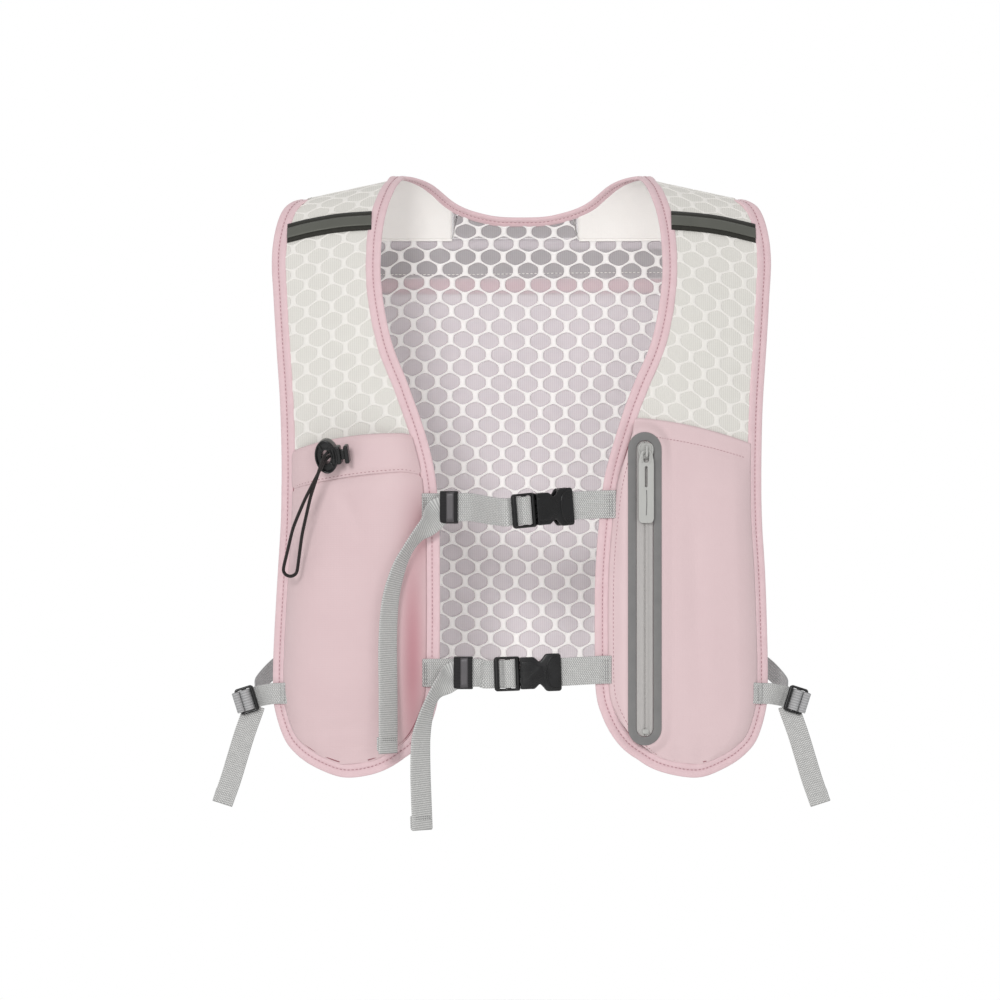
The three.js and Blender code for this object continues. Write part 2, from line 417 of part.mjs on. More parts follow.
for (const [name, c] of Object.entries(CHEST)) {
  const yaw = c.yaw * Math.PI / 180, tilt = c.tilt * Math.PI / 180;
  const u = vec(Math.cos(yaw) * Math.cos(tilt), Math.sin(yaw) * Math.cos(tilt), Math.sin(tilt)), v = vec(0, 0, 1);
  const start = vec(c.left, c.y, c.z + c.drop);
  const m = frame(start, u, v);
  buckle(`buckle_${name}`, m);
  const U = u.clone().normalize(), V = v.clone().addScaledVector(U, -v.dot(U)).normalize();
  const upright = vec(0, 0, 1), ySkin = -(depth(62) + 2.6);
  // Sewn end of the adjustable webbing, running out through the keeper.
  const k0 = c.keep[0], k1 = c.keep[1], yk = ySkin - 1.4;
  place(`strap_${name}_anchor`, band([vec(c.stub[0], -(depth(c.stub[0]) + 3.8), c.z), vec(-58, ySkin, c.z), vec(k0, yk, c.z), vec(k1 + 1.5, yk - 1, c.z)], [upright, upright, upright, upright], WEB, WEB_T), WEBBING);
  // Keeper: a flat ring round the layers of webbing.
  const kc = vec((k0 + k1) / 2, yk - 2.4, c.z), kw = k1 - k0;
  const ring = cut(box(-kw / 2, kw / 2, -11.6, 11.6, -4.6, 4.6), box(-kw, kw, -10.5, 10.5, -3.5, 3.5));
  const km = frame(kc, vec(1, -0.06, 0), upright);
  place(`keeper_${name}`, ring, BLACK, km);
  place(`keeper_${name}_stripe`, box(-1.4, 3.4, -10.8, 10.8, 4.9, 5.4), GREY, km);
  // Doubled webbing from the keeper to the ladder bars.
  const from = vec(k1 + 3.6, yk - 1.6, c.z - 0.3), to = start.clone().addScaledVector(U, -c.slack);
  const mid = from.clone().lerp(to, 0.5).add(vec(0, -1.2, -0.8));
  place(`strap_${name}_run`, band([from, mid, to], [upright, upright, V], WEB, 2 * WEB_T + 0.2), WEBBING);
  // Free end, folded down from the keeper and hanging.
  const tw = c.twist.map((d, i) => {
    const t = Math.min(1, i / 3);
    const flat = vec(Math.cos(d * Math.PI / 180), Math.sin(d * Math.PI / 180), 0);
    return upright.clone().multiplyScalar(1 - t).addScaledVector(flat, t).normalize();
  });
  place(`strap_${name}_tail`, band([vec(k1 - 1, yk - 3.4, c.z - 0.1), vec(k0 - 1.4, yk - 3.6, c.z - 0.3), ...c.tail.slice(1).map((p) => vec(...p))], [upright, upright, ...tw.slice(1)], WEB, WEB_T, false), WEBBING);
  // Fixed webbing of the other half.
  const end = start.clone().addScaledVector(U, BUCKLE_L + c.slack * 0.7);
  place(`strap_${name}_fixed`, band([end, end.clone().lerp(vec(54, -(depth(54) + 3.4), c.z + c.drop / 2 + 2), 0.5), vec(54, -(depth(54) + 3.2), c.z + 2), vec(c.fix, -(depth(c.fix) + 2.8), c.z + 2.2)], [V, upright, upright, upright], WEB, 2 * WEB_T), WEBBING);
}

// ---------------------------------------------------------------- side straps
for (const [name, s] of Object.entries(sideOf)) {
  const centre = vec(s * 196.9, -31, -375.4), l = vec(s * 0.954, 0, -0.3), w = vec(s * 0.3, 0, 0.954);
  const m = frame(centre, l, w);
  const plateBody = plate([[-7, -8.2], [-5.6, -9.6], [5.6, -9.6], [7, -8.2], [7, 8.2], [5.6, 9.6], [-5.6, 9.6], [-7, 8.2]], -1.8, 1.8);
  place(`side_lock_${name}`, cut(plateBody, box(-4.6, -1.4, -7.8, 7.8, -3, 3), box(1.4, 4.8, -7.8, 7.8, -3, 3)), PLASTIC, m);
  const edgeX = s * 169, yEdge = -(depth(169) + 2.2);
  const near = centre.clone().addScaledVector(l, -8.6);
  place(`side_tab_${name}`, band([vec(edgeX, yEdge, -377 + 6.5), vec(s * 178.6, -38, -370.6), near], [vec(0, 0, 1), vec(s * 0.1, 0, 1), w], SIDE_WEB, WEB_T), WEBBING);
  const rear = vec(s * 163, 42, -344), a = centre.clone().add(vec(s * -4, 5.4, 3));
  place(`side_strap_${name}`, band([a, vec(s * 190, -16, -367), vec(s * 181, 10, -356), vec(s * 170.5, 32, -348)], [w, vec(0, 0, 1), vec(0, 0, 1), vec(0, 0, 1)], SIDE_WEB, WEB_T), DARK_WEB);
  const t0 = vec(s * 193, -27.2, -384), t1 = vec(s * 214.6, -24, -449.5);
  const dir = t1.clone().sub(t0).normalize(), wd = dir.clone().cross(vec(0, 1, 0)).normalize();
  place(`side_tail_${name}`, join(band([t0, t0.clone().lerp(t1, 0.5).add(vec(0, -0.8, 0)), t1], [wd, wd, wd], SIDE_WEB, WEB_T)), WEBBING);
}

export default group;
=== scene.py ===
import math

import bpy
import numpy as np
from mathutils import Matrix, Vector


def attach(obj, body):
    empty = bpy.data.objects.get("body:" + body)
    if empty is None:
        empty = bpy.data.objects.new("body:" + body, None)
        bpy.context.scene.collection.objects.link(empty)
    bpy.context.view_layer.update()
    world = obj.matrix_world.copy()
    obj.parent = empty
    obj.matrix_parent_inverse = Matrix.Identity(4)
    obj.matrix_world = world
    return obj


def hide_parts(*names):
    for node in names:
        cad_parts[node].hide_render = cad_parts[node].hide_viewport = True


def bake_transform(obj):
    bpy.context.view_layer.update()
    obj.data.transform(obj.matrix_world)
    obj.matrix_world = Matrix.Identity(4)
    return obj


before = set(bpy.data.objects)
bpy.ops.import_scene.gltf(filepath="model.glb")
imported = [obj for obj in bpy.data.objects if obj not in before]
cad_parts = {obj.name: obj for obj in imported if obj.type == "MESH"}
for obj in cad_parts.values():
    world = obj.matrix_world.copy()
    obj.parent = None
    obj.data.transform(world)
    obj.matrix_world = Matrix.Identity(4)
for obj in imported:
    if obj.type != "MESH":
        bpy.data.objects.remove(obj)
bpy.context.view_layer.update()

MM = 0.001
RNG = np.random.default_rng(7)

# ------------------------------------------------------------------ camera and stage first
scene = bpy.context.scene
cam_data = bpy.data.cameras.new("camera")
cam_data.lens, cam_data.sensor_width = 400, 36
cam = bpy.data.objects.new("camera", cam_data)
scene.collection.objects.link(cam)
DIST = 0.714 * 400 / 36
cam.location = (-0.01535, -DIST - 0.068, -0.232)
cam.rotation_euler = (math.radians(90), 0, 0)
cam_data.clip_start, cam_data.clip_end = 0.1, 60
scene.camera = cam


# ------------------------------------------------------------------ colours and node helpers
def lin(hexa):
    h = hexa.lstrip("#")
    c = [int(h[i:i + 2], 16) / 255 for i in (0, 2, 4)]
    return [x / 12.92 if x <= 0.04045 else ((x + 0.055) / 1.055) ** 2.4 for x in c] + [1.0]


class Nodes:
    """A short way to write a material's node tree."""

    def __init__(self, name):
        self.mat = bpy.data.materials.new(name)
        self.mat.use_nodes = True
        self.t = self.mat.node_tree
        self.t.nodes.clear()
        self.out = self.t.nodes.new("ShaderNodeOutputMaterial")
        self.p = self.t.nodes.new("ShaderNodeBsdfPrincipled")
        self.t.links.new(self.p.outputs[0], self.out.inputs[0])

    def put(self, sock, v):
        if isinstance(v, bpy.types.NodeSocket):
            self.t.links.new(v, sock)
        elif v is not None:
            sock.default_value = v

    def new(self, kind, **props):
        n = self.t.nodes.new(kind)
        for k, v in props.items():
            setattr(n, k, v)
        return n

    def m(self, op, a, b=None, c=None, clamp=False):
        n = self.new("ShaderNodeMath", operation=op, use_clamp=clamp)
        for i, v in enumerate((a, b, c)):
            self.put(n.inputs[i], v)
        return n.outputs[0]

    def uv(self):
        n = self.new("ShaderNodeUVMap", uv_map="mm")
        s = self.new("ShaderNodeSeparateXYZ")
        self.t.links.new(n.outputs[0], s.inputs[0])
        return s.outputs[0], s.outputs[1]

    def pos(self):
        n = self.new("ShaderNodeTexCoord")
        return n.outputs["Object"]

    def xyz(self, vec):
        s = self.new("ShaderNodeSeparateXYZ")
        self.t.links.new(vec, s.inputs[0])
        return s.outputs

    def noise(self, scale, detail=2.0, rough=0.5, vec=None, stretch=None):
        n = self.new("ShaderNodeTexNoise")
        v = vec or self.pos()
        if stretch:
            mp = self.new("ShaderNodeMapping")
            mp.inputs["Scale"].default_value = stretch
            self.t.links.new(v, mp.inputs[0])
            v = mp.outputs[0]
        self.t.links.new(v, n.inputs["Vector"])
        n.inputs["Scale"].default_value = scale
        n.inputs["Detail"].default_value = detail
        n.inputs["Roughness"].default_value = rough
        return n.outputs[0]

    def wave(self, x, period, phase=0.0):
        """0 to 1, a smooth wave along x."""
        s = self.m("SINE", self.m("MULTIPLY_ADD", x, 2 * math.pi / period, phase))
        return self.m("MULTIPLY_ADD", s, 0.5, 0.5)

    def mix(self, f, a, b, mode="MIX"):
        n = self.new("ShaderNodeMix", data_type="RGBA", blend_type=mode)
        self.put(n.inputs["Factor"], f)
        self.put(n.inputs[6], a)
        self.put(n.inputs[7], b)
        return n.outputs[2]

    def ramp(self, x, lo, hi):
        n = self.new("ShaderNodeMapRange", interpolation_type="SMOOTHSTEP")
        self.put(n.inputs[0], x)
        n.inputs[1].default_value, n.inputs[2].default_value = lo, hi
        return n.outputs[0]

    def bump(self, height, dist, strength=1.0):
        n = self.new("ShaderNodeBump")
        n.inputs["Strength"].default_value = strength
        n.inputs["Distance"].default_value = dist
        self.put(n.inputs["Height"], height)
        self.t.links.new(n.outputs[0], self.p.inputs["Normal"])

    def set(self, **kw):
        names = dict(color="Base Color", rough="Roughness", metal="Metallic", alpha="Alpha", sheen="Sheen Weight", sheen_rough="Sheen Roughness",
                     coat="Coat Weight", coat_rough="Coat Roughness", spec="Specular IOR Level", ior="IOR", sss="Subsurface Weight")
        for k, v in kw.items():
            self.put(self.p.inputs[names[k]], v)
        return self.mat


def webbing(name, light, dark, ribs=False):
    g = Nodes(name)
    u, v = g.uv()
    if ribs == "cross":      # close rows across the width
        r = g.wave(v, 1.55)
        fine = g.wave(g.m("ADD", u, g.m("MULTIPLY", v, 0.4)), 0.95)
        h = g.m("MULTIPLY_ADD", fine, 0.3, g.m("MULTIPLY", r, 0.7))
    elif ribs:    # ribs along the length, as on the flat side of narrow webbing
        r = g.wave(u, 1.9)
        fine = g.wave(v, 0.9)
        h = g.m("MULTIPLY_ADD", fine, 0.2, g.m("MULTIPLY", r, 0.8))
    else:         # rows of small slanted floats
        stag = g.m("MULTIPLY", g.m("PINGPONG", u, 1.25), 0.9)
        h1 = g.wave(g.m("ADD", v, stag), 1.5)
        col = g.wave(u, 1.25)
        h = g.m("MULTIPLY", h1, g.m("MULTIPLY_ADD", col, 0.6, 0.4))
    n = g.noise(420, 3)
    h2 = g.m("MULTIPLY_ADD", n, 0.35, h)
    # painted shade: the colour darkens in the weave's low places and lightens on its floats, besides random tone from
    # the noise
    f = g.m("MULTIPLY_ADD", h, 0.85, g.m("MULTIPLY", n, 0.25), clamp=True)
    g.bump(h2, 0.00035, 0.7)
    return g.set(color=g.mix(f, lin(dark), lin(light)), rough=g.m("MULTIPLY_ADD", n, 0.2, 0.66), sheen=0.15, spec=0.3)


def coated(name, base, shade, scale=1.0, fold=(), fold_shade="#c28790"):
    """Smooth stretch fabric with a fine knit face, with painted shade that darkens its colour in the folds given as x,
    z and their two widths.
    """
    g = Nodes(name)
    pos = g.pos()
    n = g.noise(34 * scale, 4, 0.55)
    fine = g.noise(1900, 2, 0.6)
    o = g.xyz(pos)
    knit = g.m("MULTIPLY", g.wave(o[0], 0.0011), g.wave(o[2], 0.0013))
    h = g.m("MULTIPLY_ADD", fine, 0.5, knit)
    g.bump(h, 0.00008, 0.5)
    f = g.m("MULTIPLY_ADD", n, 0.5, g.m("MULTIPLY_ADD", knit, 0.12, 0.18), clamp=True)
    c = g.mix(f, lin(base), lin(shade))
    # painted shade: a soft dark-pink spot over each fold, where shadow falls
    for x, z, a, b, k in fold:
        u = g.m("MULTIPLY", g.m("SUBTRACT", o[0], x), 1 / a)
        v = g.m("MULTIPLY", g.m("SUBTRACT", o[2], z), 1 / b)
        d = g.m("MULTIPLY_ADD", u, u, g.m("MULTIPLY", v, v))
        c = g.mix(g.m("MULTIPLY", g.m("EXPONENT", g.m("MULTIPLY", d, -1.0)), k), c, lin(fold_shade))
    return g.set(color=c, rough=g.m("MULTIPLY_ADD", n, 0.16, 0.5), sheen=0.25, sheen_rough=0.4, spec=0.32)


def tape(name, base, shade):
    """Bias tape: a fine slanted twill with slight puckers, and painted shade darkening the groove of its stitch line.
    """
    g = Nodes(name)
    u, v = g.uv()
    tw = g.wave(g.m("ADD", u, v), 0.8)
    n = g.noise(120, 4, 0.6)
    g.bump(g.m("MULTIPLY_ADD", tw, 0.35, n), 0.00014, 0.6)
    mid = g.m("ABSOLUTE", g.m("SUBTRACT", u, 5.5))
    # painted shade: darker in a line 5.5 mm across the tape, where the stitch line's groove lies
    groove_shade = g.m("SUBTRACT", 1.0, g.ramp(mid, 0.2, 1.4))
    f = g.m("MULTIPLY_ADD", groove_shade, 0.28, g.m("MULTIPLY_ADD", n, 0.45, g.m("MULTIPLY", tw, 0.1)), clamp=True)
    return g.set(color=g.mix(f, lin(base), lin(shade)), rough=0.72, sheen=0.2, spec=0.25)


def plastic(name, base, rough=0.34, grain=0.00003, edge=None):
    g = Nodes(name)
    n = g.noise(2600, 2, 0.6)
    big = g.noise(90, 3, 0.6)
    g.bump(g.m("MULTIPLY_ADD", big, 0.6, n), grain, 0.5)
    c = g.mix(g.m("MULTIPLY", big, 0.8, clamp=True), lin(base), lin(edge or base))
    return g.set(color=c, rough=g.m("MULTIPLY_ADD", big, 0.18, rough - 0.06), spec=0.5)


def glassbead(name, base, light):
    g = Nodes(name)
    n = g.noise(2400, 2, 0.7)
    big = g.noise(60, 3)
    u, v = g.uv()
    tick = g.m("MULTIPLY", g.wave(u, 0.7), g.wave(v, 0.7))
    g.bump(g.m("MULTIPLY_ADD", tick, 0.6, n), 0.00006, 0.6)
    f = g.m("MULTIPLY_ADD", big, 0.5, g.m("MULTIPLY", n, 0.35), clamp=True)
    return g.set(color=g.mix(f, lin(base), lin(light)), rough=0.42, metal=0.25, spec=0.6)


MAT = {}
MAT["web"] = webbing("webbing", "#eeeeec", "#868685")
MAT["web_rib"] = webbing("webbing_ribbed", "#dededc", "#8f8f8e", ribs="cross")
MAT["web_dark"] = webbing("webbing_behind", "#b9b9ba", "#8f8f90", ribs=True)
MAT["pink"] = coated("pink_fabric", "#e2cacc", "#d9bfc2")
# the left pocket's pink, set a little darker than the right pocket's as painted shade, with painted shade along the
# inner seam and a painted shadow under the strap's tail
MAT["pink_left"] = coated("pink_fabric_left_fold_shaded", "#e0c7c9", "#d6bbbe", fold=((-0.0775, -0.345, 0.0085, 0.075, 0.85), (-0.071, -0.255, 0.006, 0.02, 0.5)))
MAT["pink_back"] = coated("pink_fabric_back", "#dfc3c6", "#d6b9bd")
MAT["lining"] = coated("lining", "#fffdfa", "#f9f6f2", 2)
MAT["tape"] = tape("pink_tape", "#e8cdd1", "#cda9af")
MAT["black"] = plastic("buckle_black", "#0d0d0e", 0.25, edge="#1c1c1d")
MAT["reflect"] = glassbead("reflective", "#55564f", "#6e6f68")
MAT["stripe"] = glassbead("keeper_stripe", "#474447", "#5b585a")
MAT["welt"] = plastic("zip_welt", "#727171", 0.5, 0.00004, edge="#868584")
MAT["metal"] = plastic("zip_lacquer", "#a9a9a6", 0.32, edge="#c0bfbc")
MAT["thread"] = plastic("thread_pink", "#9c6a73", 0.8, edge="#b3838b")
MAT["thread_white"] = plastic("thread_white", "#f2f0ec", 0.8)
MAT["thread_grey"] = plastic("thread_grey", "#8d8d8d", 0.8)


def woven_black():
    g = Nodes("black_tape")
    u, v = g.uv()
    h = g.m("MULTIPLY", g.wave(u, 0.8), g.wave(v, 0.8))
    n = g.noise(300, 3)
    g.bump(h, 0.00012, 0.6)
    # painted shade: the colour darkens in the weave's low places, besides random tone from the noise
    f = g.m("MULTIPLY_ADD", n, 0.5, g.m("MULTIPLY", h, 0.4), clamp=True)
    return g.set(color=g.mix(f, lin("#17160f"), lin("#34332c")), rough=0.75, sheen=0.1)


def elastic():
    g = Nodes("elastic_black")
    u, v = g.uv()
    h = g.wave(v, 1.1)
    n = g.noise(500, 3)
    g.bump(g.m("MULTIPLY_ADD", n, 0.4, h), 0.00018, 0.7)
    # painted shade: the colour darkens in the grooves between the ribs
    return g.set(color=g.mix(h, lin("#050406"), lin("#1a181a")), rough=0.7, sheen=0.1)


def braided():
    g = Nodes("cord_braid")
    u, v = g.uv()
    a = g.wave(g.m("ADD", v, u), 1.5)
    b = g.wave(g.m("SUBTRACT", v, u), 1.5)
    h = g.m("MAXIMUM", a, b)
    n = g.noise(700, 3)
    g.bump(g.m("MULTIPLY_ADD", n, 0.3, h), 0.0002, 0.8)
    # painted shade: the colour darkens in the braid's low places, scaled by the noise
    return g.set(color=g.mix(g.m("MULTIPLY", h, n, clamp=True), lin("#0b0606"), lin("#2c2220")), rough=0.72, sheen=0.1)


def rib_white(name, light, dark):
    """The raised honeycomb: off-white, soft, slightly fuzzy."""
    g = Nodes(name)
    n = g.noise(260, 4, 0.6)
    fine = g.noise(2200, 2)
    g.bump(g.m("MULTIPLY_ADD", fine, 0.6, n), 0.00012, 0.5)
    return g.set(color=g.mix(g.m("MULTIPLY", n, 0.9, clamp=True), lin(light), lin(dark)), rough=0.78, sheen=0.2, spec=0.25, sss=0.0)


def tricot(name, light, dark, alpha):
    """Sheer knit with fine ribs down the body."""
    g = Nodes(name)
    o = g.xyz(g.pos())
    rib = g.wave(o[0], 0.00145)
    cross = g.wave(o[2], 0.0011)
    n = g.noise(70, 4, 0.6)
    h = g.m("MULTIPLY_ADD", cross, 0.25, rib)
    g.bump(h, 0.00015, 0.6)
    # painted shade: the colour lightens on the ribs and darkens between them, besides random tone from the noise
    f = g.m("MULTIPLY_ADD", rib, 0.5, g.m("MULTIPLY_ADD", n, 0.4, g.m("MULTIPLY", cross, 0.12)), clamp=True)
    return g.set(color=g.mix(f, lin(dark), lin(light)), rough=0.85, sheen=0.15, spec=0.2, alpha=alpha)


def zip_cloth():
    g = Nodes("zip_cloth")
    u, v = g.uv()
    zig = g.wave(g.m("ADD", v, g.m("PINGPONG", u, 1.0)), 0.9)
    n = g.noise(500, 3)
    g.bump(g.m("MULTIPLY_ADD", n, 0.3, zig), 0.00008, 0.5)
    return g.set(color=g.mix(g.m("MULTIPLY_ADD", zig, 0.4, g.m("MULTIPLY", n, 0.4), clamp=True), lin("#bdbab8"), lin("#a6a3a1")), rough=0.62, spec=0.35)


MAT["woven_black"] = woven_black()
MAT["elastic"] = elastic()
MAT["cord"] = braided()
# the same white ribs as two copies, as painted light: the back's set lighter against the shade inside the vest, the
# shoulders' set darker where the lamps fall full on them
MAT["rib"] = rib_white("honeycomb_ribs", "#fdfbfa", "#f4f1f0")
MAT["rib_front"] = rib_white("honeycomb_ribs_front", "#f0ede8", "#e6e3de")
MAT["tricot"] = tricot("tricot_back", "#f8f4f6", "#dcd5d9", 0.36)
MAT["tricot_front"] = tricot("tricot_front", "#e5e3dd", "#d5d2cc", 1.0)
MAT["zip_cloth"] = zip_cloth()
MAT["puller"] = plastic("puller_grey", "#b3b3b0", 0.5, 0.00005, edge="#bfbfbb")


# ------------------------------------------------------------------ mesh helpers (all in mm)
def make(name, verts, faces, mat, uvs=None, smooth=True, body="vest", node=None, slot=None):
    me = bpy.data.meshes.new(name)
    me.from_pydata([tuple(map(float, v)) for v in np.asarray(verts, float) * MM], [], [tuple(map(int, f)) for f in faces])
    me.validate()
    if uvs is not None:
        layer = me.uv_layers.new(name="mm")
        uvs = np.asarray(uvs, float)
        idx = np.zeros(len(me.loops), dtype=np.int64)
        me.loops.foreach_get("vertex_index", idx)
        layer.data.foreach_set("uv", uvs[idx].ravel().astype(np.float32))
    me.shade_smooth() if smooth else None
    ob = bpy.data.objects.new(name, me)
    scene.collection.objects.link(ob)
    me.materials.append(MAT[mat] if isinstance(mat, str) else mat)
    if body:
        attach(ob, body)
    if node:
        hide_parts(*([node] if isinstance(node, str) else node))
    return ob


def cloth(ob, P):
    """Measures the widest row and the longest column of the grid P (mm) a piece is built on, and returns the piece; the
    lengths are not used.
    """
    P = np.asarray(P, float)
    across = np.linalg.norm(np.diff(P, axis=1), axis=-1).sum(1).max()
    along = np.linalg.norm(np.diff(P, axis=0), axis=-1).sum(0).max()
    return ob


class Batch:
    """Many small solids in one mesh."""

    def __init__(self):
        self.v, self.f, self.uv, self.n = [], [], [], 0

    def add(self, verts, faces, uvs=None):
        verts = np.asarray(verts, float)
        self.v.append(verts)
        self.uv.append(np.zeros((len(verts), 2)) if uvs is None else np.asarray(uvs, float))
        self.f += [tuple(i + self.n for i in f) for f in faces]
        self.n += len(verts)

    def make(self, name, mat, **kw):
        return make(name, np.concatenate(self.v), self.f, mat, np.concatenate(self.uv), **kw)


def unit(v):
    v = np.asarray(v, float)
    return v / np.maximum(np.linalg.norm(v, axis=-1, keepdims=True), 1e-12)


def grid_faces(n, m, base=0, flip=False):
    i, j = np.meshgrid(np.arange(n - 1), np.arange(m - 1), indexing="ij")
    a = base + i * m + j
    q = np.stack([a, a + m, a + m + 1, a + 1], -1).reshape(-1, 4)
    return q[:, ::-1] if flip else q


def orient(verts, faces):
    """Faces wound outwards, by the sign of the volume."""
    v = np.asarray(verts, float)
    v = v - v.mean(0)
    vol = 0.0
    by = {}
    for f in faces:
        by.setdefault(len(f), []).append(f)
    for n, fs in by.items():
        fs = np.array(fs)
        for k in range(1, n - 1):
            vol += float(np.einsum("ij,ij->", v[fs[:, 0]], np.cross(v[fs[:, k]], v[fs[:, k + 1]])))
    return faces if vol > 0 else [tuple(f)[::-1] for f in faces]


def thick(P, t, uv=None, round_edge=True):
    """Closed sheet of thickness t round the grid P (n, m, 3); returns verts, faces, uvs."""
    n, m, _ = P.shape
    du, dv = np.gradient(P, axis=0), np.gradient(P, axis=1)
    N = unit(np.cross(du, dv))
    T = np.full((n, m, 1), t / 2.0)
    if uv is None:
        a = np.concatenate([[0], np.cumsum(np.linalg.norm(np.diff(P[:, m // 2], axis=0), axis=1))])
        b = np.concatenate([[0], np.cumsum(np.linalg.norm(np.diff(P[n // 2], axis=0), axis=1))])
        uv = np.stack(np.meshgrid(b, a), -1).reshape(n, m, 2)
    top, bot = P + N * T, P - N * T
    v = np.concatenate([top.reshape(-1, 3), bot.reshape(-1, 3)])
    k = n * m
    f = [tuple(q) for q in grid_faces(n, m)] + [tuple(q) for q in grid_faces(n, m, k, True)]
    rim = [(0, j) for j in range(m)] + [(i, m - 1) for i in range(1, n)] + [(n - 1, j) for j in range(m - 2, -1, -1)] + [(i, 0) for i in range(n - 2, 0, -1)]
    ids = [i * m + j for i, j in rim]
    for a, b in zip(ids, ids[1:] + ids[:1]):
        f.append((a, b, b + k, a + k))
    uvs = np.concatenate([uv.reshape(-1, 2)] * 2)
    return v, orient(v, f), uvs


def rounded_section(w, t, k=3, sag=0.0):
    """Points (across, through) of a flat section with rounded edges."""
    r = t / 2
    pts = []
    for a in np.linspace(-math.pi / 2, math.pi / 2, k + 2):
        pts.append((w / 2 - r + r * math.cos(a), r * math.sin(a)))
    for x in np.linspace(w / 2 - r, -w / 2 + r, 8)[1:-1]:
        pts.append((x, r + sag))
    for a in np.linspace(math.pi / 2, 3 * math.pi / 2, k + 2):
        pts.append((-w / 2 + r + r * math.cos(a), r * math.sin(a)))
    for x in np.linspace(-w / 2 + r, w / 2 - r, 8)[1:-1]:
        pts.append((x, -r - sag))
    return np.array(pts)


def sweep(P, W, N, section, closed_ends=True, scale=None, length0=0.0):
    """Sweeps a closed section (across, through) along P with axes W and N."""
    P, W, N = map(np.asarray, (P, W, N))
    n, m = len(P), len(section)
    sec = np.asarray(section)
    if sec.ndim == 2:
        sec = np.repeat(sec[None], n, 0)
    if scale is not None:
        sec = sec * np.asarray(scale)[:, None, :]
    V = P[:, None] + W[:, None] * sec[:, :, :1] + N[:, None] * sec[:, :, 1:]
    s = length0 + np.concatenate([[0], np.cumsum(np.linalg.norm(np.diff(P, axis=0), axis=1))])
    uv = np.stack([sec[:, :, 0] - sec[:, :, 0].min(), np.repeat(s[:, None], sec.shape[1], 1)], -1)
    m = sec.shape[1]
    f = []
    for i in range(n - 1):
        for k in range(m):
            l = (k + 1) % m
            f.append((i * m + k, i * m + l, (i + 1) * m + l, (i + 1) * m + k))
    if closed_ends:
        f.append(tuple(reversed(range(m))))
        f.append(tuple(range((n - 1) * m, n * m)))
    v = V.reshape(-1, 3)
    return v, orient(v, f), uv.reshape(-1, 2)


def catmull(pts, per=8, closed=False):
    """Smooth curve through pts (any dimension), with per steps between points."""
    p = np.asarray(pts, float)
    if closed:
        p = np.concatenate([p[-1:], p, p[:2]])
    else:
        p = np.concatenate([2 * p[:1] - p[1:2], p, 2 * p[-1:] - p[-2:-1]])
    out = []
    for i in range(1, len(p) - 2):
        for t in np.arange(per) / per:
            a, b, c, d = p[i - 1], p[i], p[i + 1], p[i + 2]
            out.append(0.5 * (2 * b + (c - a) * t + (2 * a - 5 * b + 4 * c - d) * t * t + (3 * b - a - 3 * c + d) * t ** 3))
    if not closed:
        out.append(p[-2])
    return np.array(out)


def resample(P, step=None, count=None):
    s = np.concatenate([[0], np.cumsum(np.linalg.norm(np.diff(P, axis=0), axis=1))])
    n = count or max(2, int(round(s[-1] / step)) + 1)
    t = np.linspace(0, s[-1], n)
    return np.stack([np.interp(t, s, P[:, k]) for k in range(P.shape[1])], -1)


def tangents(P):
    return unit(np.gradient(np.asarray(P, float), axis=0))


def strap(name, path, wdirs, w, t, mat, per=8, step=1.2, fold=None, **kw):
    """Webbing along a smooth path; wdirs are the width directions at its points."""
    PW = catmull(np.concatenate([np.asarray(path, float), unit(np.asarray(wdirs, float)) * 10], 1), per)
    s = np.concatenate([[0], np.cumsum(np.linalg.norm(np.diff(PW[:, :3], axis=0), axis=1))])
    n = max(3, int(s[-1] / step))
    tt = np.linspace(0, s[-1], n)
    PW = np.stack([np.interp(tt, s, PW[:, k]) for k in range(6)], -1)
    P, T = PW[:, :3], tangents(PW[:, :3])
    W = PW[:, 3:]
    W = unit(W - T * np.sum(W * T, 1, keepdims=True))
    N = np.cross(T, W)
    v, f, uv = sweep(P, W, N, rounded_section(w, t))
    return make(name, v, f, mat, uv, **kw), (P, W, N)


def curve_plate(name, outlines, thickness, bevel, matrix, mat, body="vest", node=None, n0=0.0, res=2, slot=None):
    """A moulded plate: outlines (first outer, then holes) as (u, v) in mm, in the plane of matrix, with rounded edges."""
    cu = bpy.data.curves.new(name + "_curve", "CURVE")
    cu.dimensions, cu.fill_mode = "2D", "BOTH"
    cu.extrude = (thickness / 2 - bevel) * MM
    cu.bevel_depth, cu.bevel_resolution = bevel * MM, res
    cu.offset = -bevel * MM
    for pts in outlines:
        sp = cu.splines.new("POLY")
        sp.points.add(len(pts) - 1)
        for q, (u, v) in zip(sp.points, pts):
            q.co = (u * MM, v * MM, 0, 1)
        sp.use_cyclic_u = True
    tmp = bpy.data.objects.new(name + "_tmp", cu)
    scene.collection.objects.link(tmp)
    dg = bpy.context.evaluated_depsgraph_get()
    me = bpy.data.meshes.new_from_object(tmp.evaluated_get(dg))
    bpy.data.objects.remove(tmp)
    bpy.data.curves.remove(cu)
    me.name = name
    me.transform(Matrix.Translation((0, 0, n0 * MM)))
    me.transform(matrix)
    me.materials.clear()
    me.materials.append(MAT[mat])
    me.shade_smooth()
    ob = bpy.data.objects.new(name, me)
    scene.collection.objects.link(ob)
    weld = ob.modifiers.new("weld", "WELD")
    weld.merge_threshold = 2e-5
    if body:
        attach(ob, body)
    if node:
        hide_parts(*([node] if isinstance(node, str) else node))
    return ob


def arc_pts(cx, cy, r, a0, a1, k=6):
    return [(cx + r * math.cos(math.radians(a)), cy + r * math.sin(math.radians(a))) for a in np.linspace(a0, a1, k)]


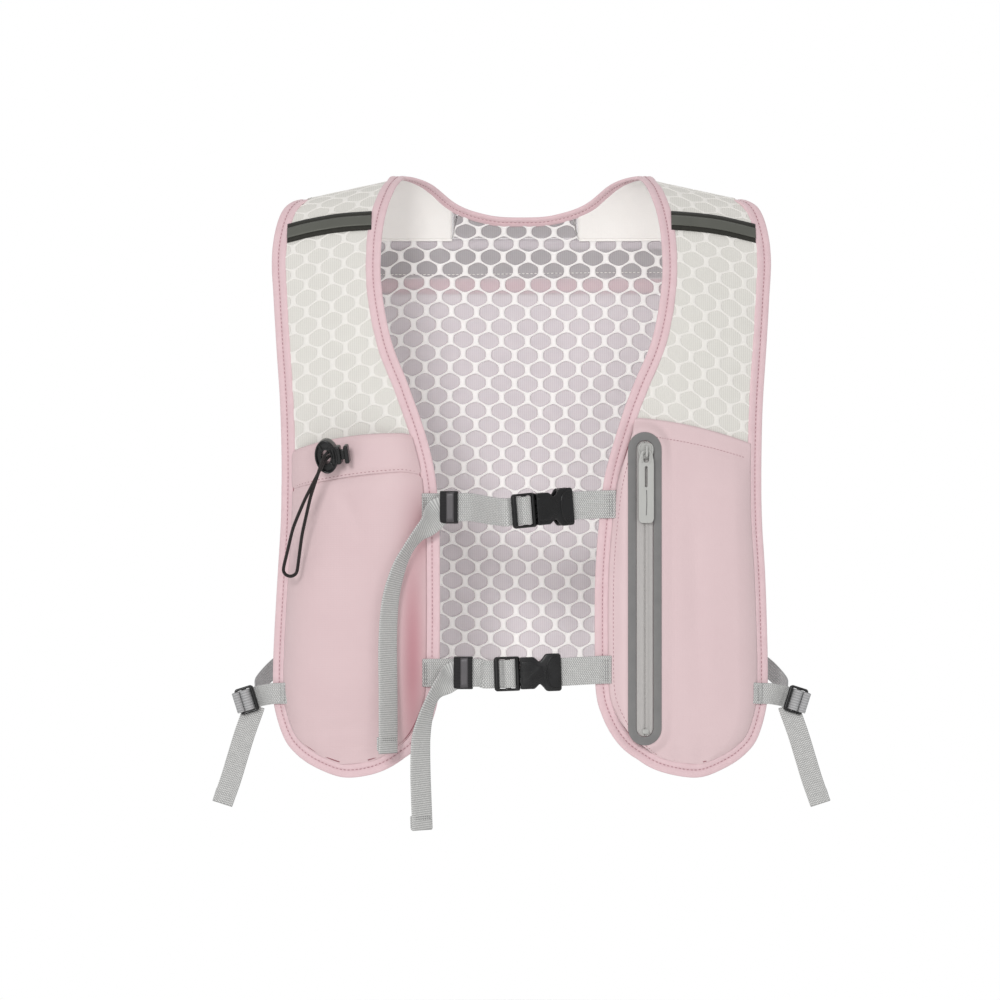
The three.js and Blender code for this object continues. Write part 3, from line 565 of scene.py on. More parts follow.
def round_rect(u0, u1, v0, v1, r, k=5):
    return arc_pts(u1 - r, v1 - r, r, 0, 90, k) + arc_pts(u0 + r, v1 - r, r, 90, 180, k) + arc_pts(u0 + r, v0 + r, r, 180, 270, k) + arc_pts(u1 - r, v0 + r, r, 270, 360, k)


def round_poly(pts, r, k=4):
    """Polygon with its corners rounded by up to r."""
    pts = [np.array(p, float) for p in pts]
    out = []
    n = len(pts)
    for i in range(n):
        a, b, c = pts[i - 1], pts[i], pts[(i + 1) % n]
        rr = r[i] if hasattr(r, "__len__") else r
        d1, d2 = np.linalg.norm(a - b), np.linalg.norm(c - b)
        q = min(rr, d1 * 0.45, d2 * 0.45)
        p, s = b + (a - b) / d1 * q, b + (c - b) / d2 * q
        for t in np.linspace(0, 1, k):
            out.append(tuple((1 - t) ** 2 * p + 2 * t * (1 - t) * b + t * t * s))
    return out


def basis(origin, u, v):
    U = unit(u)
    V = np.asarray(v, float)
    V = unit(V - U * np.dot(V, U))
    N = np.cross(U, V)
    m = Matrix([[U[0], V[0], N[0], origin[0] * MM], [U[1], V[1], N[1], origin[1] * MM], [U[2], V[2], N[2], origin[2] * MM], [0, 0, 0, 1]])
    return m, np.array(origin, float), U, V, N


_SF = None


def stitches(batch, P, N, pitch=3.0, length=2.0, r=0.22, lift=0.0, start=1.0, spare=0.5):
    """Lock stitches along P lying on the side N."""
    global _SF
    P, N = np.asarray(P, float), np.asarray(N, float)
    s = np.concatenate([[0], np.cumsum(np.linalg.norm(np.diff(P, axis=0), axis=1))])
    prof = np.array([0.15, 0.85, 1.0, 0.85, 0.15])
    an = 2 * math.pi * np.arange(6) / 6
    wide = np.maximum(prof, 0.35)[:, None, None]
    c = start
    while c + length < s[-1] - spare:
        t = np.linspace(c, c + length, 5)
        Q = np.stack([np.interp(t, s, P[:, k]) for k in range(3)], -1)
        M = unit(np.stack([np.interp(t, s, N[:, k]) for k in range(3)], -1))
        T = tangents(Q)
        S = np.cross(T, M)
        h = (prof * 0.9 - 0.45) * r + lift
        V = Q[:, None] + M[:, None] * (h[:, None, None] + np.sin(an)[None, :, None] * r * wide) + S[:, None] * np.cos(an)[None, :, None] * r * 1.25 * wide
        V = V.reshape(-1, 3)
        if _SF is None:
            F = [(i * 6 + k, i * 6 + (k + 1) % 6, (i + 1) * 6 + (k + 1) % 6, (i + 1) * 6 + k) for i in range(4) for k in range(6)]
            F += [tuple(reversed(range(6))), tuple(range(24, 30))]
            _SF = orient(V, F)
        batch.add(V, _SF)
        c += pitch


# ------------------------------------------------------------------ torso surface, as in the CAD
DEPTH, RAD, CRX, CRD = 78.0, 110.0, 83.0, 16 / 74


def depth(x):
    return DEPTH * (1 - 0.5 * (np.abs(x) / 170) ** 2.2)


def crest(x):
    return -np.maximum(0, np.abs(x) - CRX) * CRD


def surf(x, q):
    x, q = np.asarray(x, float), np.asarray(q, float)
    s, a = np.where(q < 0, -1.0, 1.0), np.abs(q)
    ac = np.minimum(a, 1) * math.pi / 2
    h = np.where(a < 1, RAD * (1 - np.cos(ac)), RAD * (1 + (a - 1) * math.pi / 2))
    return np.stack([x + 0 * q, s * depth(x) * np.sin(ac), crest(x) - h], -1)


def normal(x, q):
    du = surf(np.asarray(x) + 0.5, q) - surf(np.asarray(x) - 0.5, q)
    dv = surf(x, np.asarray(q) + 1e-3) - surf(x, np.asarray(q) - 1e-3)
    n = unit(np.cross(du, dv))
    p = surf(x, q)
    out = np.stack([0 * p[..., 0], p[..., 1], np.maximum(0, p[..., 2] + RAD)], -1)
    return np.where(np.sum(n * out, -1, keepdims=True) < 0, -n, n)


def off(x, q, d=0.0):
    return surf(x, q) + normal(x, q) * np.asarray(d, float)[..., None]


def q_at(x, z, side):
    x, z = np.asarray(x, float), np.asarray(z, float)
    h = np.maximum(0, crest(x) - z)
    return side * np.where(h < RAD, np.arccos(np.clip(1 - h / RAD, -1, 1)) / (math.pi / 2), 1 + (h / RAD - 1) * 2 / math.pi)


def coords(P, side):
    """x and q of points near the surface; side is the sign of q."""
    P = np.asarray(P, float)
    x = P[..., 0]
    h = crest(x) - P[..., 2]
    a = np.where(h < RAD, np.arctan2(np.abs(P[..., 1]) / depth(x), 1 - h / RAD) / (math.pi / 2), 1 + (h / RAD - 1) * 2 / math.pi)
    return x, side * a


def arc_s(q):
    """Distance down the surface for q."""
    a = np.abs(q)
    return np.sign(q) * np.where(a < 1, 141 * a, 141 + (a - 1) * 172.8)


def arc_q(s):
    a = np.abs(s)
    return np.sign(s) * np.where(a < 141, a / 141, 1 + (a - 141) / 172.8)


INNER_L = [(-91.7, -10.7), (-97.5, -28.6), (-100.3, -50), (-100, -80), (-93, -118), (-80, -152), (-69, -183.5), (-62, -212), (-58.8, -245), (-58.2, -285), (-58.2, -332), (-59, -368), (-62.5, -386), (-69.6, -402), (-79.6, -413.4), (-94, -423), (-110, -428.8)]
OUTER_L = [(-170, -22), (-176.5, -38), (-179, -60), (-177.5, -89), (-175.5, -122), (-173, -160), (-171.8, -198), (-171.8, -224), (-172.4, -250), (-174.6, -286), (-177, -328), (-178, -358), (-177, -380), (-170, -402.5), (-160, -415), (-146, -424), (-128, -430.2)]
INNER_R = [(91.7, -10.7), (97.5, -28.6), (100.3, -50), (100, -80), (93, -118), (79, -152), (72, -171), (60, -212), (55.6, -245), (52.6, -285), (52.2, -332), (53, -368), (57.5, -386), (66, -402), (77, -413.4), (92, -423), (110, -428.8)]
OUTER_R = [(170, -22), (176.5, -38), (179, -60), (177.5, -89), (175.5, -122), (173, -160), (172, -192), (171.8, -224), (172.4, -250), (174.6, -286), (176, -328), (176.5, -358), (175.5, -380), (169, -402.5), (159, -415), (145, -424), (128, -430.2)]
NECK = [(-66, -4), (-47.5, -17.5), (-24, -25.7), (0, -27.4)]
ARM = [(-163, -22), (-163.5, -28), (-162, -34), (-159, -41)]
BACK = [(-157.6, -48.5), (-155.6, -61), (-153, -80), (-150, -115), (-150, -160), (-152, -210), (-156, -260), (-161, -310), (-164.5, -348)]
CREST_IN, CREST_OUT, HEM_Z = 83.2, 160.0, -357.0
PR, HR = 7, 8     # rows at the pocket's top edge and at its hem line


class Edge:
    """The outline of one front panel, as a smooth curve over row numbers: 0 to 17 down the inner edge, back up the outer edge."""

    def __init__(self, inner, outer, side):
        pts = [(side * CREST_IN, 0.0)] + [(x, float(q_at(x, z, -1))) for x, z in inner]
        pts += [(x, float(q_at(x, z, -1))) for x, z in reversed(outer)] + [(side * CREST_OUT, 0.0)]
        self.side = side
        self.xq = catmull(pts, 24)          # 35 spans of 24 steps
        self.rows = np.linspace(0, 35, len(self.xq))
        P = surf(self.xq[:, 0], self.xq[:, 1])
        self.P = P
        T = tangents(P)
        N = normal(self.xq[:, 0], np.minimum(self.xq[:, 1], -1e-4))
        B = unit(np.cross(N, T))
        centre = np.array([side * 118.0, -60, -200.0])
        mid = len(P) // 4
        if np.dot(B[mid], centre - P[mid]) < 0:
            B = -B
        for k in range(0, 10):     # the crest ends run straight across
            f = k / 10
            B[k] = unit(B[k] * f + np.array([side, 0, -CRD * 0.0]) * (1 - f))
            B[-1 - k] = unit(B[-1 - k] * f + np.array([-side, 0, 0]) * (1 - f))
        self.B, self.N, self.T = B, N, T

    def inset(self, w):
        return coords(self.P + self.B * w, -1)

    def at(self, r, w):
        """x and q of the inset outline at row r (0 to 35)."""
        x, q = self.inset(w)
        return np.interp(r, self.rows, x), np.interp(r, self.rows, q)

    def ruled(self, r0, r1, nr, ns, w, lift=None, s0=0.0, s1=1.0):
        """Grid of points between rows r0 and r1; lift(r, s) in mm. Returns points, and r and s grids."""
        x, q = self.inset(w)
        r = np.linspace(r0, r1, nr)
        xa, qa = np.interp(r, self.rows, x), np.interp(r, self.rows, q)
        xb, qb = np.interp(35 - r, self.rows, x), np.interp(35 - r, self.rows, q)
        s = np.linspace(s0, s1, ns)
        X = xa[:, None] + (xb - xa)[:, None] * s
        Q = qa[:, None] + (qb - qa)[:, None] * s
        R, S = np.repeat(r[:, None], ns, 1), np.repeat(s[None], nr, 0)
        d = lift(R, S) if lift else np.zeros_like(X)
        return X, Q, R, S, d


EL, ER = Edge(INNER_L, OUTER_L, -1), Edge(INNER_R, OUTER_R, 1)


# ------------------------------------------------------------------ bindings
def binding_section(w, t):
    """Folded tape seen end on: rounded over the fabric's edge, pinched on its stitch line. b runs inwards from the edge."""
    up = [(w, 0.30), (w - 0.25, 0.62), (w - 1.2, 0.86), (w * 0.74, 1.0), (w * 0.60, 0.86), (w * 0.5, 0.60), (w * 0.40, 0.86), (w * 0.26, 1.02), (1.1, 0.95), (0.35, 0.7), (0.0, 0.3)]
    pts = [(b, h * t / 2) for b, h in up] + [(b, -h * t / 2) for b, h in reversed(up)]
    return np.array(pts)


def binding(name, P, B, N, w, t, node, batch, stitch=True, seed=0):
    rng = np.random.default_rng(seed)
    s = np.concatenate([[0], np.cumsum(np.linalg.norm(np.diff(P, axis=0), axis=1))])
    n = int(s[-1] / 1.0)
    tt = np.linspace(0, s[-1], n)
    P, B, N = (np.stack([np.interp(tt, s, A[:, k]) for k in range(3)], -1) for A in (P, B, N))
    B, N = unit(B), unit(N)
    sec = np.repeat(binding_section(w, t)[None], n, 0)
    # slow puckers of the tape, and a dimple at each stitch hole
    ph = rng.uniform(0, 6.28, 6)
    fr = rng.uniform(0.08, 0.45, 6)
    puck = sum(np.sin(tt * f + p) for f, p in zip(fr, ph)) / 6
    sec[:, :, 1] *= 1 + 0.16 * puck[:, None]
    hole = 0.5 + 0.5 * np.cos(2 * math.pi * (tt - 0.5) / 3.0)
    mid = np.abs(sec[:, :, 0] - w / 2) < w * 0.12
    sec[:, :, 1] *= np.where(mid, 1 - 0.30 * hole[:, None], 1)
    inner = sec[:, :, 0] > w - 0.4
    sec[:, :, 0] += np.where(inner, 0.22 * puck[:, None], 0)
    v, f, uv = sweep(P, B, N, sec)
    ob = make(name, v, f, "tape", uv, node=node, slot="pink_tape")
    if stitch:
        for sgn in (1, -1):
            line = P + B * (w / 2) + N * sgn * (t * 0.30)
            stitches(batch, line, N * sgn, 3.0, 1.9, 0.2, 0.03)
    return ob


THREAD = Batch()
for nm, e in (("left", EL), ("right", ER)):
    P, B, N = e.P.copy(), e.B.copy(), e.N.copy()
    binding(f"front_binding_tape_{nm}", P, B, N, 11.0, 2.5, f"front_binding_{nm}", THREAD, seed=11 + (nm == "left"))


def back_curve(pts, w_dir=None, per=24):
    """Smooth curve over the back through (x, z) points given for the left side."""
    xq = catmull(pts, per)
    return xq


def side_back(side):
    pts = [(side * CREST_OUT, 0.0)] + [(side * -x, float(q_at(x, z, 1))) for x, z in ARM + BACK]
    return catmull(pts, 20)


BACKEDGE = {}
for nm, side in (("left", -1), ("right", 1)):
    xq = side_back(side)
    P = surf(xq[:, 0], xq[:, 1])
    N = normal(xq[:, 0], np.maximum(xq[:, 1], 1e-4))
    T = tangents(P)
    B = unit(np.cross(N, T))
    if np.dot(B[len(B) // 2], -P[len(B) // 2] * [1, 0, 0]) < 0:
        B = -B
    for k in range(10):
        B[k] = unit(B[k] * (k / 10) + np.array([-side, 0, 0]) * (1 - k / 10))
    BACKEDGE[nm] = (P, B, N, xq)
    binding(f"armhole_binding_tape_{nm}", P, B, N, 8.0, 2.3, f"armhole_binding_{nm}", THREAD, seed=21 + (nm == "left"))

neck_pts = [(-CREST_IN, 0.0)] + [(x, float(q_at(x, z, 1))) for x, z in NECK] + [(-x, float(q_at(x, z, 1))) for x, z in reversed(NECK[:-1])] + [(CREST_IN, 0.0)]
nxq = catmull(neck_pts, 24)
NP = surf(nxq[:, 0], nxq[:, 1])
NN = normal(nxq[:, 0], np.maximum(nxq[:, 1], 1e-4))
NT = tangents(NP)
NB = unit(np.cross(NN, NT))
if NB[len(NB) // 2][2] > 0:
    NB = -NB
for k in range(10):
    NB[k] = unit(NB[k] * (k / 10) + np.array([-1.0, 0, 0]) * (1 - k / 10))
    NB[-1 - k] = unit(NB[-1 - k] * (k / 10) + np.array([1.0, 0, 0]) * (1 - k / 10))
binding("neck_binding_tape", NP, NB, NN, 8.0, 2.4, "neck_binding", THREAD, seed=31)

hx = np.linspace(-165, 165, 240)
drop = 5.0 * np.maximum(0, (np.abs(hx) - 152) / 13) ** 2
HP = surf(hx, q_at(hx, HEM_Z + drop, 1))
HN = normal(hx, q_at(hx, HEM_Z + drop, 1))
HB = np.repeat([[0, 0, 1.0]], len(hx), 0)
binding("hem_binding_tape", HP, HB, HN, 8.0, 2.3, "hem_binding", THREAD, seed=41)

# ------------------------------------------------------------------ distance down the surface
_a = np.linspace(0, 1, 400)
_ds = np.sqrt((DEPTH * np.cos(_a * math.pi / 2)) ** 2 + (RAD * np.sin(_a * math.pi / 2)) ** 2) * math.pi / 2
_s = np.concatenate([[0], np.cumsum((_ds[1:] + _ds[:-1]) / 2 * np.diff(_a))])
S1 = _s[-1]


def arc_s(q):
    a = np.abs(q)
    return np.sign(q) * np.where(a < 1, np.interp(a, _a, _s), S1 + (a - 1) * 172.79)


def arc_q(s):
    a = np.abs(s)
    return np.sign(s) * np.where(a < S1, np.interp(a, _s, _a), 1 + (a - S1) / 172.79)


# ------------------------------------------------------------------ honeycomb mesh
PX, PS = 18.55, 10.3     # pitch across and down
K = 24


def _hexagon(pts):
    out = []
    for i in range(6):
        a, b = np.array(pts[i], float), np.array(pts[(i + 1) % 6], float)
        out += [a + (b - a) * j / 4 for j in range(4)]
    return np.array(out)


_OUT = _hexagon([(0, 7.52), (PX / 2, 2.78), (PX / 2, -2.78), (0, -7.52), (-PX / 2, -2.78), (-PX / 2, 2.78)])
_IN = _hexagon([(0, 6.75), (7.35, 3.1), (7.35, -3.1), (0, -6.75), (-7.35, -3.1), (-7.35, 3.1)])
for _ in range(2):
    _IN = 0.5 * _IN + 0.25 * (np.roll(_IN, 1, 0) + np.roll(_IN, -1, 0))


def warp(x, s, seed):
    """The knit is never quite even."""
    return (x + 0.8 * np.sin(s * 0.021 + seed) + 0.45 * np.sin(x * 0.05 + s * 0.033 + seed * 2),
            s + 0.9 * np.sin(x * 0.024 + seed * 1.7) + 0.4 * np.sin(x * 0.061 - s * 0.03 + seed))


def honeycomb(x0, s0, xr, sr, clamp, rib, lift=0.0, seed=0.0):
    """Ribs round every hole, as one mesh; clamp(x, s) keeps them inside the panel."""
    batch = Batch()
    levels = [(0.0, 1.0), (0.4, 0.96), (0.8, 0.66), (1.0, 0.0), (0.8, -0.66), (0.4, -0.96), (0.0, -1.0)]
    j0, j1 = int(math.floor((sr[0] - s0) / PS)) - 1, int(math.ceil((sr[1] - s0) / PS)) + 1
    i0, i1 = int(math.floor((xr[0] - x0) / PX)) - 2, int(math.ceil((xr[1] - x0) / PX)) + 2
    J, I = np.meshgrid(np.arange(j0, j1 + 1), np.arange(i0, i1 + 1), indexing="ij")
    cx, cs = (x0 + PX * (I + 0.5 * (J % 2))).ravel()[:, None], (s0 + PS * J).ravel()[:, None]
    ox, os_ = clamp(*warp(cx + _OUT[:, 0], cs + _OUT[:, 1], seed))
    ix, is_ = clamp(*warp(cx + _IN[:, 0], cs + _IN[:, 1], seed))
    ok = (np.ptp(ox, axis=1) > 0.8) & (np.ptp(os_, axis=1) > 0.8)
    ox, os_, ix, is_ = ox[ok], os_[ok], ix[ok], is_[ok]
    V = np.stack([off(ox + (ix - ox) * t, arc_q(os_ + (is_ - os_) * t), np.full(ox.shape, lift + h * rib)) for t, h in levels], 1)
    n, m = len(ox), len(levels)
    V = V.reshape(-1, 3)
    c, l, k = np.meshgrid(np.arange(n), np.arange(m - 1), np.arange(K), indexing="ij")
    a, b = (c * m + l) * K + k, (c * m + l) * K + (k + 1) % K
    F = np.stack([a, b, b + K, a + K], -1).reshape(-1, 4)
    size = np.linalg.norm(np.cross(V[F[:, 1]] - V[F[:, 0]], V[F[:, 2]] - V[F[:, 0]]), axis=1) + np.linalg.norm(np.cross(V[F[:, 2]] - V[F[:, 0]], V[F[:, 3]] - V[F[:, 0]]), axis=1)
    F = F[size > 0.01]
    used, inv = np.unique(F, return_inverse=True)
    batch.add(V[used], [tuple(q) for q in inv.reshape(-1, 4)])
    return batch


def back_half(z):
    """Half width of the back at height z, out to the edge of its binding."""
    pts = catmull([(-x, z_) for x, z_ in [ARM[-1]] + BACK], 10)
    return np.interp(-np.asarray(z, float), -pts[:, 1], pts[:, 0])


def z_of(x, q):
    return surf(x, q)[..., 2]


_zt = np.linspace(-30, -360, 400)
_st = arc_s(q_at(np.zeros(400), _zt, 1))


def clamp_back(x, s):
    z = z_of(x, arc_q(s))
    win = np.clip(np.minimum((x - WIN[0]) / 3, (WIN[1] - x) / 3), 0, 1)
    z = np.clip(z, -350.6, -43.4 + (z_neck(x) + 43.4) * win)
    w = back_half(z) - 6.9
    x = np.clip(x, -w, w)
    return x, arc_s(q_at(x, z, 1))


def sheet_grid(xs, zs, side, lift=0.0):
    """Points over the surface for x (n, m) and z (n, m)."""
    return off(xs, q_at(xs, zs, side), lift)


def back_sheet(name, z0, z1, inset, lift, t, mat, node=None, slot=None, nx=70, nz=None, wave=0.0, seed=1.0, x0=None, x1=None):
    nz = nz or max(4, int(abs(z1 - z0) / 3))
    zs = np.linspace(z0, z1, nz)
    w = back_half(zs) - inset
    u = np.linspace(-1, 1, nx)
    X = w[:, None] * u if x0 is None else np.repeat(np.linspace(x0, x1, nx)[None], nz, 0)
    Z = np.repeat(zs[:, None], nx, 1)
    d = lift + wave * (np.sin(X * 0.035 + seed) * np.sin(Z * 0.027 + seed * 2) * 0.6 + np.sin(X * 0.08 - Z * 0.05 + seed) * 0.4)
    d = np.asarray(d) + 0 * X
    P = sheet_grid(X, Z, 1, d)
    uv = np.stack([X, Z], -1)
    v, f, uvs = thick(P, t, uv)
    ob = make(name, v, f, mat, uvs, node=node, slot=slot)
    return cloth(ob, P) if mat not in ("reflect", "band_back") else ob


def z_neck(x):
    """Height of the neckline binding's lower edge."""
    n = len(NP) // 2
    a, q = coords((NP + NB * 6.2)[n:], 1)
    z = z_of(np.abs(a), q)
    o = np.argsort(np.abs(a))
    return np.interp(np.abs(x), np.abs(a)[o], z[o])


WIN = (-50.0, 41.0)


def window_sheet(name, z1, x0, x1, lift, t, mat, node=None, slot=None, nx=60, nz=16):
    xs = np.linspace(x0, x1, nx)
    top = z_neck(xs)
    Z = top[None] + (z1 - top)[None] * np.linspace(0, 1, nz)[:, None]
    X = np.repeat(xs[None], nz, 0)
    P = sheet_grid(X, Z, 1, np.full(X.shape, lift))
    v, f, uvs = thick(P, t, np.stack([X, Z], -1))
    return cloth(make(name, v, f, mat, uvs, node=node, slot=slot), P)


MAT["facing"] = coated("back_facing", "#dcd2da", "#cfc5cd", 1)
MAT["band_back"] = glassbead("reflective_back", "#20211d", "#2c2d28")
sc = arc_s(q_at(-13.5, -65.0, 1))
hc = honeycomb(-13.5, float(sc), (-150, 150), (float(_st[0]), float(_st[-1])), clamp_back, 0.62, lift=-0.1, seed=0.4)
honey_back = hc.make("back_honeycomb", "rib", node="back_mesh_panel", slot="white_mesh")
back_sheet("back_tricot", -43.2, -350.4, 6.9, 0.35, 0.2, "tricot", slot="white_mesh", nx=90)
window_sheet("neck_window_tricot", -43.4, WIN[0], WIN[1], 0.35, 0.2, "tricot", slot="white_mesh")
back_sheet("back_reflector", -50.6, -71.2, 7.6, 1.85, 0.3, "reflect", node="back_reflective_band", slot="reflective")
back_sheet("back_reflector_tape", -50.8, -71.0, 7.8, 1.45, 0.4, "band_back", slot="black_tape")
MAT["patch"] = coated("neck_patch_cloth", "#2b2c29", "#3b3c38", 2)
window_sheet("neck_patch_cloth", -42.4, -49.0, 40.0, 1.5, 0.7, "patch", node="neck_patch", slot="black_tape", nz=10)
MAT["lavender"] = coated("back_inner_layer", "#f8f0f4", "#efe6eb", 1)
MAT["pink_deep"] = coated("pink_hem", "#e6b0ba", "#dea4af", 1)
back_sheet("back_facing", -42.9, -50.4, 8.4, 1.1, 0.3, "facing", slot="lining")
back_sheet("back_pocket_hem", -71.8, -82.4, 8.4, 1.3, 0.3, "pink_deep", slot="pink_fabric")
back_sheet("back_inner_layer", -82.6, -348.4, 9.5, 1.05, 0.2, "lavender", slot="lining", wave=0.0)
back_sheet("back_pocket_cloth", -71.5, -236.5, 7.4, 1.85, 0.5, "pink_back", node="back_pocket_panel", slot="pink_fabric", wave=0.5, seed=2.2)
back_sheet("back_lower_cloth", -235.0, -350.5, 7.4, 1.6, 0.5, "pink_back", node="back_lower_panel", slot="pink_fabric", wave=0.15, seed=0.7)
# edges of the back pocket: a folded hem with two rows of stitches, and the band's stitching
for z, lift, mat in ((-235.2, 2.75, None), (-227.0, 2.65, None), (-52.6, 1.95, None), (-69.4, 1.95, None), (-80.5, 2.4, None)):
    w = back_half(np.array([z]))[0] - 9
    xs = np.linspace(-w, w, 300)
    zz = np.full(300, z)
    P = sheet_grid(xs, zz, 1, lift)
    stitches(THREAD, P, normal(xs, q_at(xs, zz, 1)), 3.2, 2.1, 0.2, 0.05)
WHITE = Batch()
xs = np.linspace(-138, 138, 400)
zz = np.full(400, -67.6) + 0.8 * np.sin(xs * 0.02)
stitches(WHITE, sheet_grid(xs, zz, 1, 0.1), -normal(xs, q_at(xs, zz, 1)), 3.0, 2.2, 0.22, 0.0)


# ------------------------------------------------------------------ shoulders
def neck_inset(w):
    """x (positive) and q down the neckline's inset edge, from the crest to the middle of the back."""
    n = len(NP) // 2
    P = (NP + NB * w)[n:]
    x, q = coords(P, 1)
    return np.abs(x)[::-1], q[::-1]


def arm_inset(side, w):
    P, B, N, xq = BACKEDGE["left" if side < 0 else "right"]
    x, q = coords(P + B * w, 1)
    return np.abs(x), q


def shoulder(nm, side, e):
    """Limits of the shoulder panel over distance s: negative on the front, positive on the back."""
    xi, qi = e.inset(9.6)
    rows = e.rows
    k = rows <= 8.3
    si, xin = arc_s(qi[k]), np.abs(xi[k])
    k = rows >= 35 - 8.3
    so, xout = arc_s(qi[k]), np.abs(xi[k])
    nx_, nq = neck_inset(6.8)
    ax_, aq = arm_inset(side, 6.8)
    sb = float(arc_s(q_at(0, -43.1, 1)))
    S = np.linspace(-400, sb, 700)
    # inner edge
    sI = np.concatenate([si[::-1], arc_s(nq) + 1e-3])
    xI = np.concatenate([xin[::-1], nx_])
    o = np.argsort(sI)
    inner = np.interp(S, sI[o], xI[o])
    inner = np.where(S > arc_s(nq).max(), 0.0, inner)
    edge = WIN[1] if side > 0 else -WIN[0]
    start = float(arc_s(q_at(edge, float(z_neck(edge)), 1)))
    inner = np.where(S > start, np.maximum(inner, edge), inner)
    sO = np.concatenate([so, arc_s(aq) + 1e-3])
    xO = np.concatenate([xout, ax_])
    o = np.argsort(sO)
    outer = np.interp(S, sO[o], xO[o])
    return S, inner, outer, sb


for nm, side, e, ph in (("left", -1, EL, (-107.5, -149.2)), ("right", 1, ER, (113.0, -149.2))):
    S, inner, outer, sb = shoulder(nm, side, e)
    # the pocket's top edge is the panel's lower limit on the front
    xa, qa = e.at(np.array([7.25]), 9.6)
    xb, qb = e.at(np.array([35 - 7.25]), 9.6)
    s_in, s_out = float(arc_s(qa)[0]), float(arc_s(qb)[0])
    x_in, x_out = abs(float(xa[0])), abs(float(xb[0]))

    def clamp(x, s, side=side, S=S, inner=inner, outer=outer, sb=sb, s_in=s_in, s_out=s_out, x_in=x_in, x_out=x_out):
        ax = x * side
        low = s_in + (s_out - s_in) * np.clip((ax - x_in) / (x_out - x_in), 0, 1) - 4
        s = np.minimum(np.maximum(s, low), arc_s(q_at(ax, -43.1, 1)))
        ax = np.clip(ax, np.interp(s, S, inner), np.interp(s, S, outer))
        return side * ax, np.minimum(s, arc_s(q_at(ax, -43.1, 1)))

    sc = float(arc_s(q_at(ph[0], ph[1], -1)))
    hc = honeycomb(ph[0], sc, (side * 185, 0) if side < 0 else (0, 185), (s_out - 8, sb), clamp, 0.34, lift=0.25, seed=1.3 + side)
    hc.make(f"shoulder_honeycomb_{nm}", "rib_front", node=f"shoulder_mesh_{nm}", slot="white_mesh")
    # the ground cloth and the smooth lining under it, from the pocket's edge over the crest to the yoke seam
    n, m = 150, 40
    lowS = np.linspace(0, 1, n)
    for label, lift, t, mat in (("ground", 0.15, 0.25, "tricot_front"), ("lining", -0.55, 0.3, "lining")):
        F_, U_ = np.meshgrid(lowS, np.linspace(0, 1, m), indexing="ij")
        low = s_in + (s_out - s_in) * U_ - 4
        top = np.full(F_.shape, sb)
        for _ in range(24):
            s = low + (top - low) * F_
            a, b = np.interp(s, S, inner), np.interp(s, S, outer)
            x = a + (b - a) * U_
            top = 0.5 * top + 0.5 * arc_s(q_at(x, np.full(x.shape, -43.1), 1))
        G = np.stack([side * x, s], -1)
        P = off(G[..., 0], arc_q(G[..., 1]), lift)
        v, f_, uvs = thick(P, t, G)
        cloth(make(f"shoulder_{label}_{nm}", v, f_, mat, uvs, slot="lining" if label == "lining" else "white_mesh"), P)
    # reflective strip on its black tape, slightly arched
    for label, half, lift, t, mat, node, slot in (("tape", 6.6, 1.35, 0.7, "woven_black", f"shoulder_tape_{nm}", "black_tape"), ("reflector", 3.5, 1.95, 0.45, "reflect", f"shoulder_reflector_{nm}", "reflective")):
        uu, vv = np.linspace(0, 1, 60), np.linspace(1, -1, 7)
        X = side * (167.5 - 60.5 * uu)[None].repeat(7, 0)
        Zc = -41.2 + 8.7 * uu + 1.9 * np.sin(math.pi * uu)
        Z = Zc[None] + vv[:, None] * half
        d = lift + 0.10 * np.sin(X * 0.21 + Z * 0.1)
        P = off(X, q_at(X, Z, -1), d)
        uv = np.stack([X, Z], -1)
        v, f_, uvs = thick(P, t, uv)
        make(f"shoulder_{label}_strip_{nm}", v, f_, mat, uvs, node=node, slot=slot)
    for dz in (5.3, -5.3):
        X = side * (165 - 56 * np.linspace(0, 1, 80))
        uu = (167.5 - np.abs(X)) / 60.5
        Z = -41.2 + 8.7 * uu + 1.9 * np.sin(math.pi * uu) + dz
        stitches(WHITE if False else THREAD, off(X, q_at(X, Z, -1), 1.72), normal(X, q_at(X, Z, -1)), 2.8, 1.8, 0.16, 0.02) if False else None
# yoke seam inside: a turned edge along the lining
xs = np.concatenate([np.linspace(-150, -49, 80)])
wy = float(back_half(np.array([-43.3]))[0]) - 8.0
for a, b in ((-wy, -50), (42, wy)):
    xs = np.linspace(a, b, 120)
    zz = np.full(120, -43.3)
    P = sheet_grid(xs, zz, 1, -0.75)
    T = tangents(P)
    N = normal(xs, q_at(xs, zz, 1))
    v, f, uv = sweep(P, np.cross(N, T), N, rounded_section(1.6, 0.8))
    make(f"yoke_seam_{'left' if a < 0 else 'right'}", v, f, "lining", uv, slot="lining")


# ------------------------------------------------------------------ pockets
def bell(s, p):
    return 1 - np.abs(2 * s - 1) ** p


def pocket(name, e, mat, rows, lifts, power, boost, arch, crease, t, node, slot, n, m, w=9.4, flat=None, arch_end=9.5):
    X, Q, R, S_, _ = e.ruled(rows[0], rows[1], n, m, w)
    lift = 1.15 + np.interp(R, np.arange(7, 18), lifts) * np.minimum(1, bell(S_, power) * boost)
    # smoother than straight pieces between rows
    rise = arch * np.sin(math.pi * S_) ** 0.8 * np.clip((arch_end - R) / (arch_end - 7), 0, 1) ** 1.2
    Q = -(np.abs(Q) - rise / 172.79)
    Zs = z_of(X, Q)
    lift = lift + crease(X, Zs, R, S_)
    P = off(X, Q, lift)
    if flat is not None:
        P = flat(P)
    uv = np.stack([X, Zs], -1)
    v, f, uvs = thick(P, t, uv)
    ob = make(name, v, f, mat, uvs, node=node, slot=slot)
    return ob, P, X, Zs


